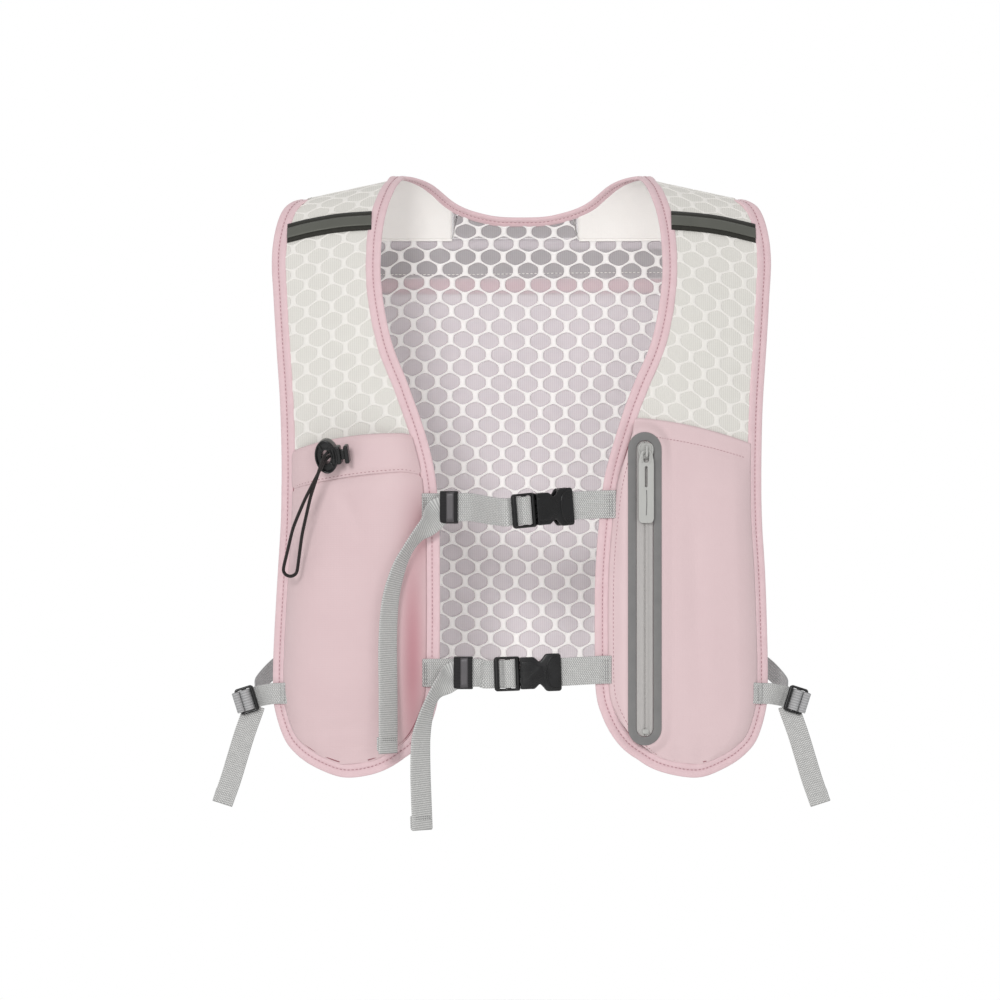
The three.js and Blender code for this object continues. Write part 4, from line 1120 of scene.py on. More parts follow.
def gauss(X, Z, x, z, a, b, ang=0.0):
    c, s = math.cos(ang), math.sin(ang)
    u, v = (X - x) * c + (Z - z) * s, -(X - x) * s + (Z - z) * c
    return np.exp(-(u / a) ** 2 - (v / b) ** 2)


OPEN = [9, 11, 13, 15.5, 16, 14, 11, 7, 4, 1.5, 0]
_k = np.arange(7, 17.01, 0.05)
_open = catmull([(float(i + 7), float(v)) for i, v in enumerate(OPEN)], 12)


def open_lift(R):
    return np.interp(R, _open[:, 0], _open[:, 1])


def crease_left(X, Z, R, S_):
    """Soft folds: gathers from the cord's hole, a fall towards the tail of the strap, puckers along the seams."""
    d = 0.0 * X
    d -= 4.2 * gauss(X, Z, -74, -335, 9, 66, -0.04)          # steep fall beside the inner seam
    d -= 1.5 * gauss(X, Z, -120, -236, 6, 20, 0.5)
    d += 0.9 * gauss(X, Z, -104, -232, 12, 7, 0.2)
    d -= 0.9 * gauss(X, Z, -150, -262, 5, 30, -0.35)
    d += 0.7 * gauss(X, Z, -140, -300, 18, 40, 0.2)
    d -= 0.7 * gauss(X, Z, -128, -395, 30, 5, 0.15)
    near = np.exp(-np.minimum(S_, 1 - S_) * 105 / 7.0)
    d += 0.35 * near * np.sin(Z * 0.42 + 2 * np.sin(Z * 0.07))
    low = np.clip((R - 13.5) / 3, 0, 1)
    d += 0.4 * low * np.sin(X * 0.35 + 1.5 * np.sin(X * 0.08))
    return d * np.clip((R - 8.0) / 0.5, 0, 1) * bell(S_, 10)


def crease_hem(X, Z, R, S_):
    d = 0.35 * np.sin(X * 0.28 + np.sin(X * 0.1)) * np.sin(math.pi * np.clip(R - 7, 0, 1))
    d += 0.9 * np.sin(math.pi * np.clip(R - 7, 0, 1)) ** 0.7      # the cord's tunnel is slightly full
    d -= 2.4 * gauss(X, Z, -124.5, -200.5, 5, 9)
    d += 0.7 * gauss(X, Z, -113, -200, 7, 8) + 0.7 * gauss(X, Z, -137, -203, 7, 8)
    return d


def pocket_left():
    e = EL
    # panel below the hem stitch
    X, Q, R, S_, _ = e.ruled(8.0, 17.0, 170, 84, 9.4)
    lift = 1.15 + open_lift(R) * np.minimum(1, bell(S_, 4.0))
    rise = 3.0 * np.sin(math.pi * S_) ** 0.8 * np.clip((11 - R) / 4, 0, 1)
    Q = -(np.abs(Q) - rise / 172.79)
    Z = z_of(X, Q)
    lift = lift + crease_left(X, Z, R, S_)
    lift -= 0.9 * np.exp(-((R - 8.0) / 0.10) ** 2)               # pinched at the stitch line
    P = off(X, Q, lift)
    v, f, uvs = thick(P, 0.7, np.stack([X, Z], -1))
    cloth(make("pocket_left_cloth", v, f, "pink_left", uvs, node="pocket_left_panel", slot="pink_fabric"), P)
    # folded hem
    X, Q, R, S_, _ = e.ruled(7.0, 8.02, 34, 110, 9.6)
    lift = 1.15 + open_lift(R) * np.minimum(1, bell(S_, 4.0))
    rise = (4.6 - 1.6 * np.clip(R - 7, 0, 1)) * np.sin(math.pi * S_) ** 0.8
    Q = -(np.abs(Q) - rise / 172.79)
    Z = z_of(X, Q)
    lift = lift + crease_hem(X, Z, R, S_)
    lift -= 0.9 * np.exp(-((R - 8.0) / 0.10) ** 2)
    f7 = np.clip((R - 7) / 0.12, 0, 1)
    lift -= 1.3 * (1 - f7) ** 2                                   # the fold rolls back
    P = off(X, Q, lift)
    v, f, uvs = thick(P, 1.3, np.stack([X, Z], -1))
    cloth(make("pocket_left_hem_cloth", v, f, "pink_left", uvs, node="pocket_left_hem", slot="pink_fabric"), P)
    # stitch line at the hem's foot
    k = 33
    stitches(THREAD, P[31, 3:-3] + normal(X[31, 3:-3], Q[31, 3:-3]) * 0.55, normal(X[31, 3:-3], Q[31, 3:-3]), 3.0, 2.0, 0.2, 0.05)
    # the buttonhole's place in the hem; it is built further down
    xs = np.full(40, -124.3)
    zs = np.linspace(-196.6, -210.2, 40)
    return P, X, Q


HEM = pocket_left()


def on_hem(x, z, lift):
    """Point on the hem's front face."""
    P, X, Q = HEM
    Z = z_of(X, Q)
    i = np.argmin((X - x) ** 2 + (Z - z) ** 2)
    i = np.unravel_index(i, X.shape)
    return P[i] + normal(X[i], Q[i]) * lift, normal(X[i], Q[i])


# satin-stitched buttonhole: two close rows of thread, and between them a dark strip painted as the shade inside the
# slit
hole = Batch()
for k in range(20):
    z = -196.4 - k * 0.72
    for sgn in (-1, 1):
        p, nn = on_hem(-124.5 + sgn * 1.25, z, 0.62)
        p = np.array([-124.5 + sgn * 1.25, p[1], z])
        line = np.array([p + np.array([-0.9, 0, 0.08 * sgn]), p, p + np.array([0.9, 0, -0.08 * sgn])])
        stitches(hole, resample(line, count=6), np.repeat(nn[None], 6, 0), 9, 1.7, 0.3, 0.05, start=0.02, spare=0.0)
hole.make("buttonhole_thread", "thread", slot="pink_tape")
p, nn = on_hem(-124.5, -203, 0.66)
line = np.array([[-124.5, on_hem(-124.5, z, 0.62)[0][1], z] for z in np.linspace(-197.2, -209.6, 16)])
v, f, uv = sweep(line, np.repeat([[1.0, 0, 0]], 16, 0), np.repeat(nn[None], 16, 0), rounded_section(0.9, 0.3))
# painted shade: the dark colour of the slit stands for the shadow inside it
MAT["slit"] = plastic("buttonhole_slit_shade", "#5a3a40", 0.9, edge="#6b474e")
make("buttonhole_slit_shade", v, f, "slit", uv, slot="pink_fabric")

# painted shadow: dark pink for the seam's shadow line
MAT["shadow_line"] = plastic("seam_shadow_line", "#8f5a63", 0.9, edge="#a26b74")
for nm, e in (("left", EL), ("right", ER)):
    X, Q, R, S_, _ = e.ruled(7.0, 17.0, 90, 50, 9.6)
    if nm == "left":
        Q = -(np.abs(Q) - 2.0 * np.sin(math.pi * S_) * np.clip((11 - R) / 4, 0, 1) / 172.79)
    else:
        Q = -(np.abs(Q) - 2.0 * np.sin(math.pi * S_) * np.clip((10 - R) / 3, 0, 1) / 172.79)
    P = off(X, Q, 0.0)
    v, f, uvs = thick(P, 0.6, np.stack([X, z_of(X, Q)], -1))
    cloth(make(f"pocket_{nm}_lining_cloth", v, f, "lining", uvs, node=f"pocket_{nm}_lining", slot="lining"), P)
    # a dark strip painted as the shadow in the seam beside the binding
    for side_, (r0, r1) in (("inner", (7.5, 16.8)), ("outer", (18.2, 27.4))):
        x_, q_ = e.at(np.linspace(r0, r1, 260), 10.55)
        P = off(x_, q_, 1.95)
        T = tangents(P)
        N = normal(x_, q_)
        v, f, uv = sweep(P, np.cross(N, T), N, rounded_section(0.75, 0.3))
        make(f"seam_shadow_line_{nm}_{side_}", v, f, "shadow_line", uv, slot="pink_tape")

# ------------------------------------------------------------------ zipped pocket
ZX, ZTOP, ZBOT, ZW, ZWIN = 87.8, -183.5, -407.0, 24.6, 12.6
zang = math.atan(DEPTH * 0.5 * 2.2 * (ZX / 170) ** 1.2 / 170)
ZM, ZO, ZU, ZV, ZN = basis((ZX, -(float(depth(ZX)) + 8.9), (ZTOP + ZBOT) / 2), (math.cos(zang), math.sin(zang), 0), (0, 0, 1))
ZL = ZTOP - ZBOT


def zlocal(P):
    D = P - ZO
    return D @ ZU, D @ ZV, D @ ZN


def stadium(w, l, k=14):
    r, h = w / 2, l / 2 - w / 2
    return [(r * math.cos(a), h + r * math.sin(a)) for a in np.linspace(0, math.pi, k)] + [(r * math.cos(a), -h + r * math.sin(a)) for a in np.linspace(math.pi, 2 * math.pi, k)]


def stadium_distance(u, v, w, l):
    """Signed distance to the stadium's edge, positive outside."""
    h = l / 2 - w / 2
    return np.hypot(u, np.maximum(0, np.abs(v) - h)) - w / 2


RIGHT = [0.4, 6.2, 6.4, 6.4, 6.4, 6.4, 6.2, 5.4, 3.6, 1.4, 0]
_right = catmull([(float(i + 7), float(v)) for i, v in enumerate(RIGHT)], 12)


def pocket_right():
    X, Q, R, S_, _ = ER.ruled(7.0, 17.0, 200, 96, 9.4)
    lift = 1.15 + np.interp(R, _right[:, 0], _right[:, 1]) * np.minimum(1, bell(S_, 6) * 1.15)
    rise = 3.4 * np.sin(math.pi * S_) ** 0.8 * np.clip((10 - R) / 3, 0, 1)
    Q = -(np.abs(Q) - rise / 172.79)
    Z = z_of(X, Q)
    d = 0.7 * gauss(X, Z, 142, -250, 16, 45, 0.1) - 0.9 * gauss(X, Z, 122, -300, 7, 70, 0.04) + 0.5 * gauss(X, Z, 135, -345, 14, 30)
    near = np.exp(-np.minimum(S_, 1 - S_) * 105 / 7.0)
    d += 0.3 * near * np.sin(Z * 0.4 + 2 * np.sin(Z * 0.06)) + 0.3 * np.clip((R - 14) / 3, 0, 1) * np.sin(X * 0.33 + np.sin(X * 0.1))
    d *= bell(S_, 10) * np.clip((R - 7.3) / 0.6, 0, 1)
    lift = lift + d - 0.5 * np.exp(-((R - 7.36) / 0.06) ** 2) * bell(S_, 8)
    P = off(X, Q, lift)
    u, v_, n_ = zlocal(P)
    dist = stadium_distance(u, v_, ZW, ZL)
    f = np.clip(1 - dist / 9.0, 0, 1)
    f = f * f * (3 - 2 * f)
    f = np.where(dist < 0.5, 1, f)
    sink = np.where(stadium_distance(u, v_, ZWIN, ZL - 12) < 1.5, -1.1, -0.42)
    P = P + ((sink - n_) * f)[..., None] * ZN
    v, fc, uvs = thick(P, 0.7, np.stack([X, Z], -1))
    cloth(make("pocket_right_cloth", v, fc, "pink", uvs, node="pocket_right_panel", slot="pink_fabric"), P)
    # top stitch along the pocket's upper edge and down its inner side
    i = int(200 * 0.036)
    stitches(THREAD, P[i, 4:-4] + normal(X[i, 4:-4], Q[i, 4:-4]) * 0.4, normal(X[i, 4:-4], Q[i, 4:-4]), 2.6, 1.7, 0.17, 0.03)
    j = 3
    stitches(THREAD, P[6:-20, j] + normal(X[6:-20, j], Q[6:-20, j]) * 0.4, normal(X[6:-20, j], Q[6:-20, j]), 3.0, 2.0, 0.18, 0.03)
    return P


PRG = pocket_right()
curve_plate("zip_frame_film", [stadium(ZW, ZL, 24), stadium(ZWIN, ZL - 12, 18)], 1.0, 0.42, ZM, "welt", node="zip_frame", n0=0.5, slot="zip_welt", res=3)
# tapes: two strips that meet on the coil
zc = np.linspace(-ZL / 2 + 6.6, ZL / 2 - 6.6, 220)
for k, sgn in (("left", -1), ("right", 1)):
    us = np.linspace(0.12, 5.95, 12)
    U_, V_ = np.meshgrid(us, zc, indexing="xy")
    keep = stadium_distance(U_, V_, ZWIN - 0.7, ZL - 12.7)
    U2 = np.where(keep > 0, np.maximum(0.1, np.sqrt(np.maximum(0.01, ((ZWIN - 0.7) / 2) ** 2 - np.maximum(0, np.abs(V_) - (ZL - 12.7) / 2 + (ZWIN - 0.7) / 2) ** 2))) * (us / 5.95)[None], U_)
    n_ = 0.15 + 0.62 * np.exp(-((U2 - 1.55) / 1.15) ** 2) + 0.05 * np.sin(V_ * 4.6) * np.exp(-((U2 - 1.5) / 1.4) ** 2)
    P = ZO + sgn * U2[..., None] * ZU + V_[..., None] * ZV + n_[..., None] * ZN
    v, f, uvs = thick(P, 0.35, np.stack([U2, V_], -1))
    make(f"zip_tape_{k}", v, f, "zip_cloth", uvs, node="zip_tape" if k == "left" else None, slot="zip_tape")
teeth = Batch()
for i, vz in enumerate(np.arange(-ZL / 2 + 12.5, ZL / 2 - 12.5, 0.75)):
    sgn = 1 if i % 2 else -1
    c = ZO + ZV * vz + ZN * 0.62
    ring = []
    for a in np.linspace(0, 2 * math.pi, 9)[:-1]:
        ring.append((math.cos(a), math.sin(a)))
    V = []
    for t, r in ((-0.9, 0.5), (-0.3, 1.0), (0.6, 1.0), (1.0, 0.55)):
        for a, b in ring:
            V.append(c + ZU * (sgn * (t * 1.0 + 0.35)) + ZV * a * 0.34 * r + ZN * b * 0.36 * r)
    F = [(i_ * 8 + k, i_ * 8 + (k + 1) % 8, (i_ + 1) * 8 + (k + 1) % 8, (i_ + 1) * 8 + k) for i_ in range(3) for k in range(8)]
    F += [tuple(reversed(range(8))), tuple(range(24, 32))]
    teeth.add(V, orient(np.array(V), F))
teeth.make("zip_teeth", "zip_cloth", slot="zip_tape")
curve_plate("zip_bottom_stop", [round_rect(-2.4, 2.4, -ZL / 2 + 8.2, -ZL / 2 + 11.6, 0.8)], 1.9, 0.5, ZM, "metal", node="zip_stop", n0=2.05, slot="zip_metal")
V0 = ZL / 2 - 19
V1 = V0 + 11
curve_plate("zip_slider_body", [round_poly([(-4.4, V0), (4.4, V0), (5.7, V1 - 3), (4.4, V1), (-4.4, V1), (-5.7, V1 - 3)], 1.6)], 1.4, 0.5, ZM, "metal", body="zip_slider", node="zip_slider", n0=2.9, slot="zip_metal", res=3)


def tube(name, pts, r, mat, body, flatten=1.0, seg=12, per=8, slot=None, node=None):
    P = resample(catmull(pts, per), step=0.35)
    T = tangents(P)
    ref = np.array([0, 0, 1.0]) if abs(T[0][2]) < 0.9 else np.array([1.0, 0, 0])
    W = []
    w = unit(np.cross(T[0], ref))
    for t in T:
        w = unit(w - t * np.dot(w, t))
        W.append(w)
    W = np.array(W)
    N = np.cross(T, W)
    sec = np.array([(r * math.cos(a), r * flatten * math.sin(a)) for a in np.linspace(0, 2 * math.pi, seg + 1)[:-1]])
    v, f, uv = sweep(P, W, N, sec)
    return make(name, v, f, mat, uv, body=body, slot=slot, node=node)


def zp(u, v, n):
    return ZO + ZU * u + ZV * v + ZN * n


tube("zip_slider_bridge", [zp(0, V0 + 1.6, 3.3), zp(0, V0 + 1.6, 5.6), zp(0, V0 + 2.8, 6.75), zp(0, V0 + 5.5, 6.85), zp(0, V0 + 8.2, 6.75), zp(0, V1 - 2.3, 5.6), zp(0, V1 - 2.3, 3.3)], 0.95, "metal", "zip_slider", slot="zip_metal")
for k, sgn in (("left", -1), ("right", 1)):
    tube(f"zip_slider_rim_{k}", [zp(sgn * 4.0, V0 + 0.6, 3.6), zp(sgn * 4.7, V0 + 3.5, 3.7), zp(sgn * 5.0, V0 + 7.5, 3.7), zp(sgn * 3.9, V1 - 0.8, 3.6)], 0.62, "metal", "zip_slider", slot="zip_metal")
P0 = V0 + 6.6
eye = round_rect(-2.1, 2.1, P0 - 9.5, P0 - 2.2, 1.9)
slit = round_rect(-1.0, 1.0, P0 - 27, P0 - 12, 0.95)
tab = round_poly([(-5.6, P0 - 8), (-5.6, P0 - 50), (-4.2, P0 - 52.5), (4.2, P0 - 52.5), (5.6, P0 - 50), (5.6, P0 - 8), (3.6, P0 - 0.4), (-3.6, P0 - 0.4)], [3, 2, 2, 2, 2, 3, 3, 3], 6)
curve_plate("zip_puller_tab", [tab, eye, slit], 1.1, 0.42, ZM, "puller", body="zip_puller", node="zip_puller", n0=4.85, slot="zip_metal", res=3)
tube("zip_puller_rim", [zp(-2.9, P0 - 9.6, 5.25), zp(-3.1, P0 - 5, 5.3), zp(-2.2, P0 - 1.6, 5.3), zp(0, P0 - 1.0, 5.3), zp(2.2, P0 - 1.6, 5.3), zp(3.1, P0 - 5, 5.3), zp(2.9, P0 - 9.6, 5.25)], 0.55, "metal", "zip_puller", slot="zip_metal")
tube("zip_puller_fold", [zp(0.1, P0 - 29, 5.5), zp(0.25, P0 - 38, 5.52), zp(-0.1, P0 - 47, 5.5)], 0.22, "stripe", "zip_puller", slot="zip_metal")


# ------------------------------------------------------------------ chest straps and buckles
def bar_tack(batch, centre, along, up, out, width, height, columns, r=0.26):
    """Columns of close stitches across the webbing."""
    for c in np.linspace(-width / 2, width / 2, columns):
        pts = np.array([centre + along * (c + 0.28 * (k % 2)) + up * z for k, z in enumerate(np.linspace(-height / 2, height / 2, 24))])
        stitches(batch, pts, np.repeat(out[None], len(pts), 0), 1.7, 1.5, r, 0.02, start=0.1)


def closed_ring(name, path, axis, width, t, mat, body, node, slot, per=6):
    """A flat band bent into a ring round the axis."""
    P = catmull(path, per, closed=True)
    n = len(P)
    T = unit(np.roll(P, -1, 0) - np.roll(P, 1, 0))
    W = np.repeat(unit(np.asarray(axis, float))[None], n, 0)
    N = np.cross(T, W)
    sec = rounded_section(width, t)
    V = P[:, None] + W[:, None] * sec[None, :, :1] + N[:, None] * sec[None, :, 1:]
    m = len(sec)
    s = np.concatenate([[0], np.cumsum(np.linalg.norm(np.diff(P, axis=0), axis=1))])
    uv = np.stack([np.repeat(sec[None, :, 0], n, 0) + width / 2, np.repeat(s[:, None], m, 1)], -1)
    F = [(i * m + k, i * m + (k + 1) % m, ((i + 1) % n) * m + (k + 1) % m, ((i + 1) % n) * m + k) for i in range(n) for k in range(m)]
    v = V.reshape(-1, 3)
    return make(name, v, orient(v, F), mat, uv.reshape(-1, 2), body=body, node=node, slot=slot)


GREYT = Batch()
WEB, WT = 20.0, 1.3
CHEST = {
    "upper": dict(z=-237.2, left=-6.8, yaw=28, tilt=5, y=-104.0, stub=(-71.0, -58.4), keep=(-58.0, -45.2), fix=66.0, drop=-3.2, slack=2.4, reach=9.4,
                  first=(-3.6, 16), tail=[(-66.5, -90.5, -249.5), (-73.5, -94.5, -256.5), (-80.5, -97.5, -266.5), (-87.5, -98.8, -281), (-93.2, -98.6, -303), (-95.2, -97.8, -332), (-95, -96, -368), (-95, -94.5, -410)], twist=[46, 64, 69, 62, 55, 51, 50, 50]),
    "lower": dict(z=-355.2, left=-19.6, yaw=4, tilt=2, y=-86.0, stub=(-70.6, -48.6), keep=(-48.2, -34.8), fix=63.0, drop=-1.0, slack=1.4, reach=5.0,
                  first=(-2.6, 14), tail=[(-55.0, -88.2, -362.4), (-60.5, -91.3, -368.0), (-64.8, -92.8, -376.0), (-68.6, -93.0, -387), (-71.6, -92.0, -402), (-72.0, -91.0, -424), (-71.4, -89.5, -445), (-70.6, -88, -466)], twist=[42, 62, 67, 60, 50, 46, 45, 45]),
}
UP = np.array([0, 0, 1.0])
for nm, c in CHEST.items():
    yaw, tilt = math.radians(c["yaw"]), math.radians(c["tilt"])
    u = (math.cos(yaw) * math.cos(tilt), math.sin(yaw) * math.cos(tilt), math.sin(tilt))
    M, O, U, V, N = basis((c["left"], c["y"], c["z"] + c["drop"]), u, (0, 0, 1))

    def L(uu, n, v=0.0):
        return O + U * uu + N * n + V * v

    z = c["z"]
    ys = -(float(depth(62)) + 2.6)
    yk = ys - 1.4
    k0, k1 = c["keep"]
    male, key = f"buckle_{nm}_male", f"keeper_{nm}"
    # sewn end, running out through the keeper
    stub = c["stub"][0]
    path = [(stub, -(float(depth(stub)) + 3.6), z), (stub + 6, -(float(depth(stub + 6)) + 3.7), z), (-58, ys - 0.1, z), (k0, yk, z), ((k0 + k1) / 2, yk - 0.4, z), (k1 + 1.0, yk - 1.1, z)]
    strap(f"strap_{nm}_sewn_end", path, [UP] * 6, WEB, WT, "web", node=f"strap_{nm}_anchor", slot="webbing")
    tz = (c["stub"][0] + 3.5)
    bar_tack(GREYT, np.array([tz, -(float(depth(tz)) + 3.65) - 0.7, z]), np.array([1.0, 0.1, 0]), UP, np.array([0, -1.0, 0]), 4.6, 17.5, 4)
    # one length of webbing: out behind, round the middle bar, and back in front
    a0 = np.array([k1 + 1.0, yk - 1.1, z])
    a1 = np.array([k1 - 2.5, yk - 3.2, z])
    q = L(-4.5, -3.8)
    # flat as far as the keeper can slide, then rising to the buckle
    reach = c["reach"]
    s1 = np.array([k1 + reach, yk - 1.1 - 0.06 * reach, z])
    s2 = np.array([k1 + reach, yk - 3.1 - 0.06 * reach, z])
    p_back = [a0, s1, s1 + (q - s1) * 0.55 + np.array([0, 0.4, -0.2]), q]
    q2 = L(-4.5, -2.2)
    p_front = [q2, s2 + (q2 - s2) * 0.55 + np.array([0, -0.5, -0.4]), s2, a1 + np.array([2.4, -0.15, 0]), a1]
    loop = [L(1, -3.6), L(8, -3.4), L(13.0, -2.8), L(14.7, -1.3), L(14.7, 0.7), L(13.3, 2.2), L(10.4, 2.6), L(8.4, 2.1), L(7.2, 0.5), L(6.0, -1.1), L(3.6, -1.95), L(0, -2.0)]
    pts = p_back + loop + p_front
    wd = [UP, UP * 0.7 + V * 0.3, UP * 0.3 + V * 0.7, V] + [V] * len(loop) + [V, UP * 0.3 + V * 0.7, UP * 0.7 + V * 0.3, UP, UP]
    ob, _ = strap(f"strap_{nm}_adjusting_loop", pts, wd, WEB, WT, "web", step=0.9, body=None, node=f"strap_{nm}_run", slot="webbing")
    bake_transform(ob)
    # keeper
    kc = np.array([(k0 + k1) / 2, yk - 2.4, z])
    kw = k1 - k0
    kx = unit(np.array([1, -0.06, 0.0]))
    kn = np.array([kx[1], -kx[0], 0.0])
    ring = [kc + UP * a + kn * b for a, b in ((11.0, 2.2), (11.0, 0), (11.0, -2.2), (9.6, -3.9), (4.8, -4.1), (0, -4.1), (-4.8, -4.1), (-9.6, -3.9), (-11.0, -2.2), (-11.0, 0), (-11.0, 2.2), (-9.6, 3.9), (-4.8, 4.15), (0, 4.2), (4.8, 4.15), (9.6, 3.9))]
    closed_ring(f"keeper_{nm}_band", ring, kx, kw, 1.15, "elastic", key, f"keeper_{nm}", "elastic")
    uu, vv = np.linspace(-1.9, 3.7, 6), np.linspace(-10.7, 10.7, 30)
    A, B = np.meshgrid(uu, vv, indexing="ij")
    nn_ = 4.95 - 0.9 * np.maximum(0, (np.abs(B) - 8.4) / 2.4) ** 2
    P = kc + A[..., None] * kx + (B + 0.10 * A)[..., None] * UP + nn_[..., None] * kn
    v_, f_, uvs = thick(P, 0.3, np.stack([A, B], -1))
    make(f"keeper_{nm}_reflective_line", v_, f_, "stripe", uvs, body=key, node=f"keeper_{nm}_stripe", slot="reflective")
    # free end: over itself, folded down, hanging, its tip turned under and sewn
    drop, lean = c["first"]
    base = [np.array(p, float) for p in ((k1 - 2.5, yk - 3.2, z), ((k0 + k1) / 2, yk - 3.5, z + drop * 0.3), (k0 - 1.4, yk - 4.8, z + drop))]
    tail = [np.array(p, float) for p in c["tail"]]
    # its width turns with the path and leans away from the body, so it never folds on itself
    line = np.array(base[-1:] + tail)
    tw = []
    for t, d in zip(unit(np.gradient(line, axis=0)), [lean] + c["twist"]):
        perp = unit(np.array([t[2], 0, -t[0]]))
        tw.append(unit(perp * math.cos(math.radians(d)) - np.array([0, 1.0, 0]) * math.sin(math.radians(d))))
    end, prev = tail[-1], tail[-2]
    d_ = unit(end - prev)
    wn = unit(tw[-1])
    inward = unit(np.cross(wn, d_))
    if inward[1] < 0:
        inward = -inward
    turn = [end + d_ * 0.3 + inward * 0.3, end + inward * 1.55 - d_ * 0.3, end + inward * 1.6 - d_ * 4, end + inward * 1.55 - d_ * 9.5]
    wds = [UP, UP] + tw + [tw[-1]] * 4
    tail[-1] = end - d_ * 0.9
    _, (TP, TW, TN) = strap(f"strap_{nm}_free_end", base + tail + turn, wds, WEB, WT, "web_rib", step=1.1, node=f"strap_{nm}_tail", slot="webbing")
    for off_ in (6.8, 8.4):
        row = np.array([end - d_ * off_ + wn * w_ for w_ in np.linspace(-9, 9, 30)]) - inward * 0.66
        stitches(GREYT, row, np.repeat(-inward[None], 30, 0), 2.2, 1.6, 0.22, 0.03)
    # fixed half
    e0 = L(44.8, 0.4)
    e1 = L(49.5, 0.2)
    x2, x3 = 54.0, c["fix"]
    p2 = np.array([x2, -(float(depth(x2)) + 3.4), z + 2])
    p3 = np.array([x3 - 3, -(float(depth(x3 - 3)) + 3.1), z + 2.2])
    p4 = np.array([x3 + 1.2, -(float(depth(x3 + 1.2)) + 2.9), z + 2.2])
    strap(f"strap_{nm}_fixed_front", [e0, e1, e1 * 0.45 + p2 * 0.55 + np.array([0, -0.5, 0]), p2, p3, p4], [V, V, UP, UP, UP, UP], WEB, WT, "web", node=f"strap_{nm}_fixed", slot="webbing")
    strap(f"strap_{nm}_fixed_back", [e0 - N * 1.6, e1 - N * 1.6, e1 * 0.45 + p2 * 0.55 + np.array([0.2, 1.0, 0]), p2 + np.array([0.3, 1.35, 0]), p3 + np.array([0, 1.35, 0]), p4 + np.array([-1.5, 1.35, 0])], [V, V, UP, UP, UP, UP], WEB, WT, "web", slot="webbing")
    bar_tack(GREYT, np.array([x3 - 4.2, p3[1] - 0.75, z + 2.2]), np.array([1.0, 0.1, 0]), UP, np.array([0, -1.0, 0]), 5.4, 17.5, 4)
    for w_ in (-8.8, 8.8):
        pass
    # male half
    curve_plate(f"buckle_{nm}_ladder", [round_poly([(0, -11), (1.5, -12.3), (18.2, -12.3), (18.2, 12.3), (1.5, 12.3), (0, 11)], [3.2, 3.2, 1.2, 1.2, 3.2, 3.2], 6),
                                        round_rect(3.6, 8.6, -10.4, 10.4, 1.0), round_rect(11.4, 15.4, -10.4, 10.4, 1.0)], 2.6, 0.9, M, "black", body=male, node=male, n0=0.2, slot="buckle_plastic", res=3)
    curve_plate(f"buckle_{nm}_near_bar", [round_rect(0.15, 3.6, -11.6, 11.6, 1.6, 6)], 3.3, 1.5, M, "black", body=male, n0=0.65, slot="buckle_plastic", res=4)
    curve_plate(f"buckle_{nm}_root", [round_rect(15.5, 18.3, -11.9, 11.9, 0.9, 6)], 4.6, 1.2, M, "black", body=male, n0=0.1, slot="buckle_plastic", res=4)
    curve_plate(f"buckle_{nm}_tongue", [round_poly([(17.5, -1.7), (33, -1.7), (34, -1.0), (34, 1.0), (33, 1.7), (17.5, 1.7)], 0.5)], 3.2, 0.5, M, "black", body=male, slot="buckle_plastic")
    for k, s in (("top", 1), ("bottom", -1)):
        pts = [(18.5, 3.2), (18.5, 6.6), (26.4, 6.6), (28.6, 8.0), (33.5, 8.0), (36, 5.4), (36, 4.2), (20, 3.2)]
        curve_plate(f"buckle_{nm}_prong_{k}_arm", [round_poly([(a, b * s) for a, b in pts], [0.3, 0.3, 1.5, 1.5, 2.2, 1.2, 1.0, 0.3], 5)], 4.4, 0.8, M, "black", body=f"prong_{nm}_{k}", node=f"buckle_{nm}_prong_{k}", slot="buckle_plastic", res=3)
    # female half: two faces, two rails and an end block round its cavity
    half = [(18.4, 11.4), (28.4, 11.4), (29.8, 10.2), (32.4, 7.6), (35.2, 10.4), (37.2, 13.4), (46.6, 13.4), (47.8, 12.0)]
    rad = [1.4, 1.2, 1.2, 2.2, 2.0, 2.6, 1.4, 1.2]
    top = half + [(a, -b) for a, b in reversed(half)]
    for k, n0 in (("front", 3.55), ("back", -3.55)):
        curve_plate(f"buckle_{nm}_shell_{k}", [round_poly(top, rad + rad[::-1], 6)], 1.9, 0.9, M, "black", node=f"buckle_{nm}_female" if k == "front" else None, n0=n0, slot="buckle_plastic", res=4)
    for k, s in (("top", 1), ("bottom", -1)):
        curve_plate(f"buckle_{nm}_rail_{k}", [round_poly([(18.6, 8.7 * s), (28.3, 8.7 * s), (29.0, 9.7 * s), (28.2, 11.1 * s), (18.6, 11.1 * s)], 0.4)], 5.8, 0.3, M, "black", slot="buckle_plastic")
    curve_plate(f"buckle_{nm}_block", [round_poly([(37.3, -13.1), (46.6, -13.1), (47.6, -12), (47.6, 12), (46.6, 13.1), (37.3, 13.1)], 1.0)], 6.0, 0.4, M, "black", slot="buckle_plastic")
    curve_plate(f"buckle_{nm}_pad", [round_poly([(19.6, -8.6), (27.6, -8.6), (31.4, -5.2), (34.4, -4.6), (35.2, 0), (34.4, 4.6), (31.4, 5.2), (27.6, 8.6), (19.6, 8.6)], [1.6, 2.5, 2, 1.5, 3, 1.5, 2, 2.5, 1.6], 5)], 1.0, 0.45, M, "black", n0=4.35, slot="buckle_plastic", res=3)
    arc = [L(47.0, 4.3, 11.6), L(41.5, 4.6, 11.0), L(38.4, 4.6, 7.0), L(37.6, 4.6, 0), L(38.4, 4.6, -7.0), L(41.5, 4.6, -11.0), L(47.0, 4.3, -11.6)]
    tube(f"buckle_{nm}_arc", arc, 0.55, "black", "vest", slot="buckle_plastic")

